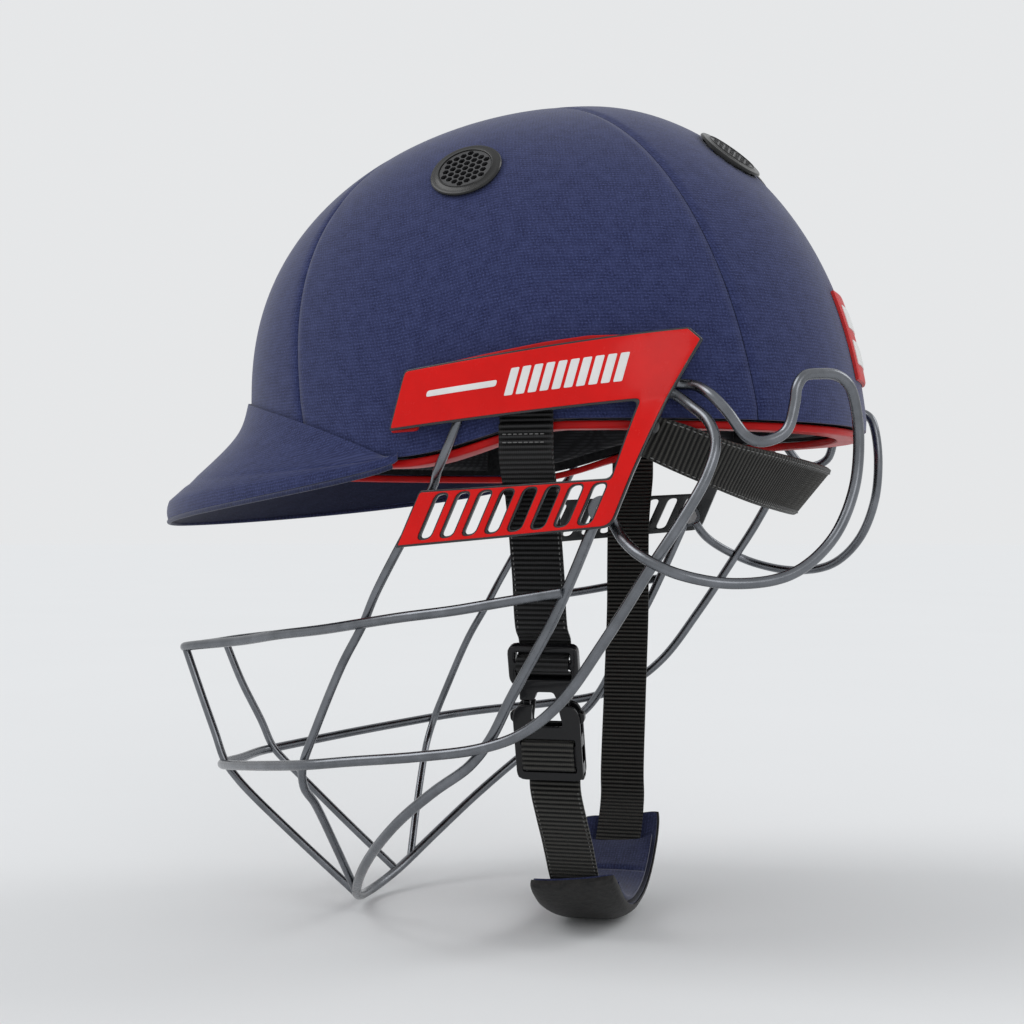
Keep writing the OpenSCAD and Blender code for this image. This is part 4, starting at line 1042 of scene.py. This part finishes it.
def outside(face, side, lift):
    """Place for flat meshes in y and z: they bend round a face of one side, lifted off it."""
    def place(co):
        y, z = co[:, 0], co[:, 1]
        return np.stack([side * (face(y, z) + lift + co[:, 2]), y, z], -1)
    return place


def side_plate(name, side, node, finish, inset, lift, depth, edge):
    outline = rounded(inset_outline(PLATE_OUTLINE, inset), [max(0.1, c - inset / 2) for c in CORNERS])
    bm = flat_plate(outline, depth, edge, [slot_outline(i, inset) for i in range(SLOT_COUNT)])
    sliced(bm, 5, -45, 78, 0)
    sliced(bm, 5, -55, 30, 1)
    bent_piece(name, bm, outside(plate_x, side, lift + depth / 2), finish, HELMET, [node])


def plate_print(word, side):
    """Plain white bar and blocks on the upper bar of a plate."""
    shapes = [patch(BAR_BOTTOM, BAR_TOP, *PRINT_BAR, 1.0, 4)]
    for i in range(PRINT_BLOCKS):
        k = BLOCK_FROM + BLOCK_PITCH * i
        shapes.append(patch(BAR_BOTTOM, BAR_TOP, (k, k + BLOCK_W), BLOCK_UPS, 0.5, 3))
    place = outside(plate_x, side, PLATE_T + SHEET_GAP + FACE_T)
    for i, shape in enumerate(shapes):
        bm = flat_plate(shape, 0.3, 0.1)
        sliced(bm, 5, -45, 78, 0)
        bent_piece(f"plate_print_{word}_{i}", bm, place, LABEL_WHITE, HELMET, ())


def bracket(word, side):
    """Moulding between the cover and the upper bar, which shows over its top edge and at its front end."""
    low = [mix(along(BAR_BOTTOM, k), along(BAR_TOP, k), BRACKET_FROM) for k in (0.12, 0.5, 1)]
    high = [along(BAR_TOP, k) + [0, lift] for k, lift in BRACKET_CREST]
    front = [along(BAR_TOP, 0.03) + [0, -0.4], along(BAR_SHOULDER, 0) + [-0.9, 0.4],
             along(BAR_BOTTOM, 0) + [-0.7, -0.5], along(BAR_BOTTOM, 0.1) + [0, -1.0]]
    bm = flat_plate(rounded([*low, *high, *front], 1.2, 4), BRACKET_T, 0.6)
    sliced(bm, 5, -44, 75, 0)
    sliced(bm, 4, -12, 32, 1)
    place = outside(side_x, side, BRACKET_GAP + BRACKET_T / 2)
    bent_piece(f"bracket_strip_{word}", bm, place, RED_TRIM, HELMET, [f"bracket_{word}"])


for word, side in SIDES:
    side_plate(f"plate_rim_{word}", side, f"plate_frame_{word}", GREY_RIM, 0,
               0, PLATE_T + 0.3, 0.45)
    side_plate(f"plate_red_{word}", side, f"plate_face_{word}", RED_GLOSS, BEVEL_W,
               PLATE_T + SHEET_GAP, FACE_T, 0.25)
for word, side in SIDES:
    plate_print(word, side)
for word, side in SIDES:
    bracket(word, side)


# Guard
def wire(name, points, d, node):
    line = evenly(curve(points, 10), 1.6)
    piece(name, *tube(line, d, 18), STEEL, replaces=[node], slot="guard_steel")


for word, route in (("top_bar", TOP_ROUTE), ("lower_bar", LOWER_ROUTE), ("chin_loop", CHIN_ROUTE)):
    wire(f"{word}_wire", both_sides(guard_points(route)), WIRE_D, f"guard_{word}")
for word, side in SIDES:
    for kind, node, route, d in (("front_stay", "front_wire", FRONT_WIRE_ROUTE, THIN_D),
                                 ("side_stay", "side_wire", SIDE_WIRE_ROUTE, THIN_D),
                                 ("ring", "rear_ring", RING_ROUTE, WIRE_D)):
        wire(f"{kind}_wire_{word}", guard_points(route) * [side, 1, 1], d, f"{node}_{word}")
refinish(STEEL, "guard_eyelets")
refinish(SCREW, "guard_screws", "strap_rivets")


# Straps
def ribbed_tape(line, width, thick, depth=0.45, edge=1.2):
    """Tape with its width along y, ribs between smooth selvedges, and its thread coordinates."""
    line = evenly(line, RIB_PITCH / 6)
    out = unit(np.cross([0, 1, 0], tangents(line)))
    run = np.arange(len(line)) * np.linalg.norm(line[1] - line[0])
    rib = depth * (np.abs(np.sin(np.pi * run / RIB_PITCH)) ** 0.7 - 1)
    across = np.array([-1, -0.94, -0.88, -0.8, -0.4, 0, 0.4, 0.8, 0.88, 0.94, 1]) * width / 2
    inwards = width / 2 - np.abs(across)
    fade = np.clip(inwards / edge, 0, 1)
    soft = 0.72 + 0.28 * np.clip(inwards / 0.6, 0, 1)
    rings, weave = [], []
    for p, o, r, at in zip(line, out, rib, run):
        half = (thick / 2 + r * (0.25 + 0.75 * fade)) * soft
        sides = [(a, way * h) for way in (-1, 1) for a, h in list(zip(across, half))[::-way]]
        rings.append([p + [0, a, 0] + o * h for a, h in sides])
        weave += [(at, a, 0) for a, h in sides]
    return (*swept(rings), np.array(weave))


def tape_piece(name, line, replaces, finish):
    verts, faces, weave = ribbed_tape(line, STRAP_W, STRAP_T)
    piece(name, verts, faces, finish, STRAP, replaces, "webbing", 60, weave)


def buckle_place(x, y, z):
    """Points given in the buckle's own leaning frame."""
    c, s = cos_d(BUCKLE_LEAN), sin_d(BUCKLE_LEAN)
    return BUCKLE_AT + np.stack([x * c + z * s, y + 0 * z, z * c - x * s], -1)


def buckle_line(points):
    x, z = np.transpose(points)
    return buckle_place(x, 0, z)


def strap_lift(k):
    return CUP_T + STRAP_T / 2 + STRAP_BED + STRAP_BED_END * k * k


def cup_line(k, lift):
    """Middle line of the cup from side to side, k from -1 to 1, lifted off its underside."""
    k, lift = np.broadcast_arrays(np.asarray(k, float), np.asarray(lift, float))
    x = k * (CUP_SPAN / 2 - lift * np.abs(k))
    z = CUP_AT[2] + CUP_RISE * np.abs(k) ** CUP_POWER - CUP_LEAN * k + lift
    return np.stack([x, CUP_AT[1] + 0 * k, z], -1)


TAB_TOP, TAB_LOW, TAB_ROWS = -6, -33, (-10.5, -13.5)
SEWN_BELOW, LOW_SEWN_BELOW, LOW_SEWN_FROM_X = -36, -146, 44
strap_route = np.array(STRAP_LINE) + [SIDE, 0, 0]
upper_line = curve(np.vstack([strap_route, buckle_line(THREAD_TOP)]), 8)
tape_piece("strap_left_webbing", upper_line, ["strap_upper"], WEB_BLACK)
# Short doubled end of the webbing over the near strap, sewn to it under the plate
tab_line = curve(strap_route[:6] + [STRAP_T + 0.25, 0, 0], 8)
tab_line = tab_line[(tab_line[:, 2] < TAB_TOP) & (tab_line[:, 2] > TAB_LOW)]
tape_piece("strap_left_tab", tab_line, (), WEB_BLACK)

cup_run = [cup_line(k, strap_lift(k)) for k in (0.9, 0.7, 0.5, 0.25, 0, -0.25, -0.5, -0.7, -0.9)]
far_run = flip_x(np.vstack([LOWER_STRAP[::-1], buckle_line([(0, -12)]), strap_route[::-1]]))
chin_line = curve(np.vstack([buckle_line(THREAD_LOW), LOWER_STRAP, cup_run, far_run]), 8)
tape_piece("strap_chin_webbing", chin_line, ["strap_chin"], WEB_GREY)


def selvedge_threads(line, outward, length):
    """A row of stitches along each edge of the tape."""
    out = unit(np.cross(tangents(line), [0, 1, 0]))
    face = line + np.where(out[:, :1] < 0, -out, out) * STRAP_T / 2
    edge = STRAP_W / 2 - 1.1
    return [stitches(face + [0, y, 0], outward, length, 0.9, 0.34) for y in (-edge, edge)]


def cross_threads(z):
    """A row of stitches across the doubled end of the near strap."""
    x, y = SIDE + STRAP_LINE[0][0] + STRAP_T * 1.5 + 0.2, STRAP_LINE[0][1]
    ends = np.array([[x, y + s * (STRAP_W / 2 - 1.4), z] for s in (-1, 1)])
    return stitches(ends, (1, 0, 0), 1.6, 0.8, 0.4)


near_strap = evenly(curve(strap_route, 8), 1.0)
near_strap = near_strap[near_strap[:, 2] < SEWN_BELOW]
low_strap = evenly(chin_line, 1.0)
low_strap = low_strap[(low_strap[:, 0] > LOW_SEWN_FROM_X) & (low_strap[:, 2] < LOW_SEWN_BELOW)]
thread_rows = [*selvedge_threads(near_strap, (1, 0, -0.1), 1.2), *(cross_threads(z) for z in TAB_ROWS),
               *selvedge_threads(low_strap, (1, 0, 0.3), 1.3)]
piece("strap_threads", *join(thread_rows), THREAD, STRAP, slot="webbing")


# Chin cup
CUP_ROUND, CUP_END_ROUND = 0.035, 0.06
CUP_THIN, CUP_THIN_REACH = 0.55, 0.012
PAD_SPAN, PAD_DEPTH, PAD_CHANNEL = 0.74, 0.9, 0.37


def cup_point(k, w, lift):
    """Point of the cup: k along it and w across it, both from -1 to 1, lifted off its underside."""
    k, w = np.broadcast_arrays(k, w)
    c = cup_line(k, lift)
    c[..., 1] += CUP_W / 2 * mix(1, CUP_END_W, k * k) * w
    c[..., 2] += CUP_CURL * w ** 4 * (1 - 0.4 * k * k) + CUP_TILT * w * k * k
    return c


k_grid, w_grid = axes((-1, 1), 120, (-1, 1), 40)
thin = CUP_THIN * bell(np.minimum(1 - np.abs(k_grid), 0.6 * (1 - np.abs(w_grid))), CUP_THIN_REACH)
# The cup's corners are drawn round in plan
end_round = CUP_END_ROUND * np.abs(k_grid) ** 14
round_k = k_grid * (1 - CUP_ROUND * np.abs(w_grid) ** 6)
round_w = w_grid * (1 - end_round)
cup_skin = skin(cup_point(round_k, round_w, thin), cup_point(round_k, round_w, CUP_T - thin))
piece("chin_cup_shell", *cup_skin, LEATHER, STRAP, ["chin_cup"], "cup_leather", 50)

# Cloth that lines the whole inside of the cup, under the webbing
bed_k, bed_w = round_k * 0.985, w_grid * (0.96 - end_round)
bed_skin = skin(cup_point(bed_k, bed_w, CUP_T + 0.05), cup_point(bed_k, bed_w, CUP_T + 0.6))
piece("chin_cup_lining_cloth", *bed_skin, CUP_LINING, STRAP, slot="cup_lining", sharp=70)

pad_k, pad_w = axes((-1, 1), 80, (-1, 1), 30)
full = (1 - np.abs(pad_k) ** 4) * (1 - np.abs(pad_w) ** 4)
pad_k, pad_w = PAD_SPAN * pad_k, PAD_DEPTH * pad_w
channel = 1 - 0.3 * bell(np.abs(pad_k) - PAD_CHANNEL, 0.02)
base = CUP_T + STRAP_BED + STRAP_T + 0.9 + STRAP_BED_END * pad_k ** 2 + 0 * pad_w
crown = CHIN_PAD_T * (0.2 + 0.8 * full) * channel
pad_skin = skin(cup_point(pad_k, pad_w, base + crown), cup_point(pad_k, pad_w, base))
pad_piece("chin_pad_cloth", pad_skin, CUP_LINING, "chin_pad", "cup_lining", STRAP)

# Nape band: ribs stand across it, between a smooth hem at each edge
NAPE_STEPS, NAPE_RIB, NAPE_HEM, NAPE_SOFT = 900, 0.36, 0.1, 0.35
nape_up = np.array([0, 0.03, 0.07, 0.1, 0.14, 0.3, 0.5, 0.7, 0.86, 0.9, 0.93, 0.97, 1])[:, None]
nape_top, nape_low = (curve(both_sides(half), 10) for half in (NAPE_TOP, NAPE_LOW))
nape_run = run_along((nape_top + nape_low) / 2)
nape_at = np.linspace(0, nape_run[-1], NAPE_STEPS)
nape_top, nape_low = (at_lengths(line, nape_run, nape_at) for line in (nape_top, nape_low))
nape_grid = mix(nape_low[None], nape_top[None], nape_up[..., None])
from_edge = np.minimum(nape_up, 1 - nape_up)
ribs = NAPE_RIB * (0.5 + 0.5 * np.cos(2 * np.pi * nape_at / RIB_PITCH))
nape_dip = ribs * np.clip((from_edge - NAPE_HEM) / 0.04, 0, 1)
nape_dip = nape_dip + NAPE_SOFT * np.clip(1 - from_edge / 0.03, 0, 1)
nape_weave = np.stack(np.broadcast_arrays(nape_at, nape_up * STRAP_W, 0.0), -1).reshape(-1, 3)
nape_skin = skin(moved(nape_grid, -nape_dip), moved(nape_grid, nape_dip - NAPE_T))
piece("nape_webbing_band", *nape_skin, WEB_GREY, replaces=["nape_band"], slot="nape_webbing", sharp=60,
      weave=np.vstack([nape_weave, nape_weave]))


def nape_threads(share):
    """A row of stitches along the band, at a share of its height."""
    row = mix(nape_low, nape_top, share)[20:-20]
    out = unit(np.cross(tangents(row), (nape_top - nape_low)[20:-20]))
    even = evenly(np.hstack([row + out * 0.1, out]), STITCH_STEP)
    return stitches(even[:, :3], even[:, 3:], 1.8, 1.0, 0.4)


piece("nape_threads", *join([nape_threads(0.06), nape_threads(0.94)]), THREAD, slot="nape_webbing")


# Buckle
def buckle_plate(word, outline, depth, edge, node, at_x=0.0, holes=(), body=STRAP):
    """Flat moulding in the buckle's frame: its outlines are in y and z."""
    def place(co):
        return buckle_place(at_x + co[:, 2], co[:, 0], co[:, 1])
    bm = flat_plate(outline, depth, edge, holes)
    bent_piece(f"buckle_{word}", bm, place, BUCKLE, body, [node])


def box_outline(y0, z0, y1, z1, radius):
    return rounded([(y0, z0), (y1, z0), (y1, z1), (y0, z1)], radius, 4)


def even_outline(half, radii):
    """Rounded outline that is the same on both sides, from its points with y above zero, anticlockwise."""
    return rounded([*half, *((-y, z) for y, z in half[::-1])], [*radii, *radii[::-1]], 4)


half_w, slot_half = BUCKLE_W / 2, STRAP_W / 2 + 0.5
bar, slot_h = 2.6, 4.0
lock_holes = [box_outline(-slot_half, z, slot_half, z + slot_h, 0.9)
              for z in (BUCKLE_TOP - bar - slot_h, BUCKLE_TOP - 2 * bar - 2 * slot_h)]
ladder = even_outline([(3.2, 6.5), (4.5, 3), (half_w - 3.4, 3), (half_w - 3.6, 7), (half_w, 11),
                       (half_w, BUCKLE_TOP)], [1.2, 0.8, 1, 2, 2, 3.4])
buckle_plate("ladder", ladder, BUCKLE_T - 2, 1.0, "buckle_male", holes=lock_holes)

cheek = BUCKLE_T / 2 - 2.1
sleeve = even_outline([(half_w - 0.5, BUCKLE_BOTTOM), (half_w - 0.5, -2.4), (half_w - 2.6, 1.4), (4.8, 1.9),
                       (6.4, -7)], [3.4, 2.2, 2.0, 1.0, 1.8])
fold_holes = [box_outline(-slot_half, z, slot_half, z + FOLD_SLOT_H, 0.7) for z in FOLD_SLOTS]
cheek_x = (BUCKLE_T - cheek) / 2
for word, at_x in (("outer", cheek_x), ("inner", -cheek_x)):
    buckle_plate(f"sleeve_{word}", sleeve, cheek, 0.45, "buckle_female", at_x, fold_holes)

# Walls and bars between the two sleeves, each from its first to its last y and z
inner_w, wall_y, neck_z = half_w - 0.6, slot_half + 0.1, FOLD_SLOTS[1] + FOLD_SLOT_H + 0.2
for word, y0, z0, y1, z1, radius in (
        ("neck", -inner_w, neck_z, inner_w, -10.6, 0.7),
        ("bar", -inner_w, FOLD_SLOTS[0] + 2.6, inner_w, FOLD_SLOTS[1] - 0.2, 0.7),
        ("foot", -inner_w, BUCKLE_BOTTOM + 0.1, inner_w, FOLD_SLOTS[0] - 0.2, 0.7),
        ("wall_front", -inner_w, BUCKLE_BOTTOM + 1, -wall_y, -10.7, 0.4),
        ("wall_rear", wall_y, BUCKLE_BOTTOM + 1, inner_w, -10.7, 0.4)):
    buckle_plate(word, box_outline(y0, z0, y1, z1, radius), 4.1, 0.3, "buckle_female")

ARM = [(6.2, -9), (8.8, -9), (8.8, -7), (12.6, -6.6), (14.4, -5.2), (14.4, -2.2), (12.8, -1.5), (8.8, -1.5),
       (8.8, 2.7), (6.2, 2.7)]
ARM_CORNERS = [1, 1, 0.5, 1.2, 1, 1, 1, 0.8, 0.5, 0.5]
for word, way in (("front", -1), ("rear", 1)):
    arm = rounded([(way * y, z) for y, z in ARM][::way], ARM_CORNERS[::way], 3)
    buckle_plate(f"prong_{word}", arm, 3.2, 0.4, f"prong_{word}", body=f"{word}_prong")
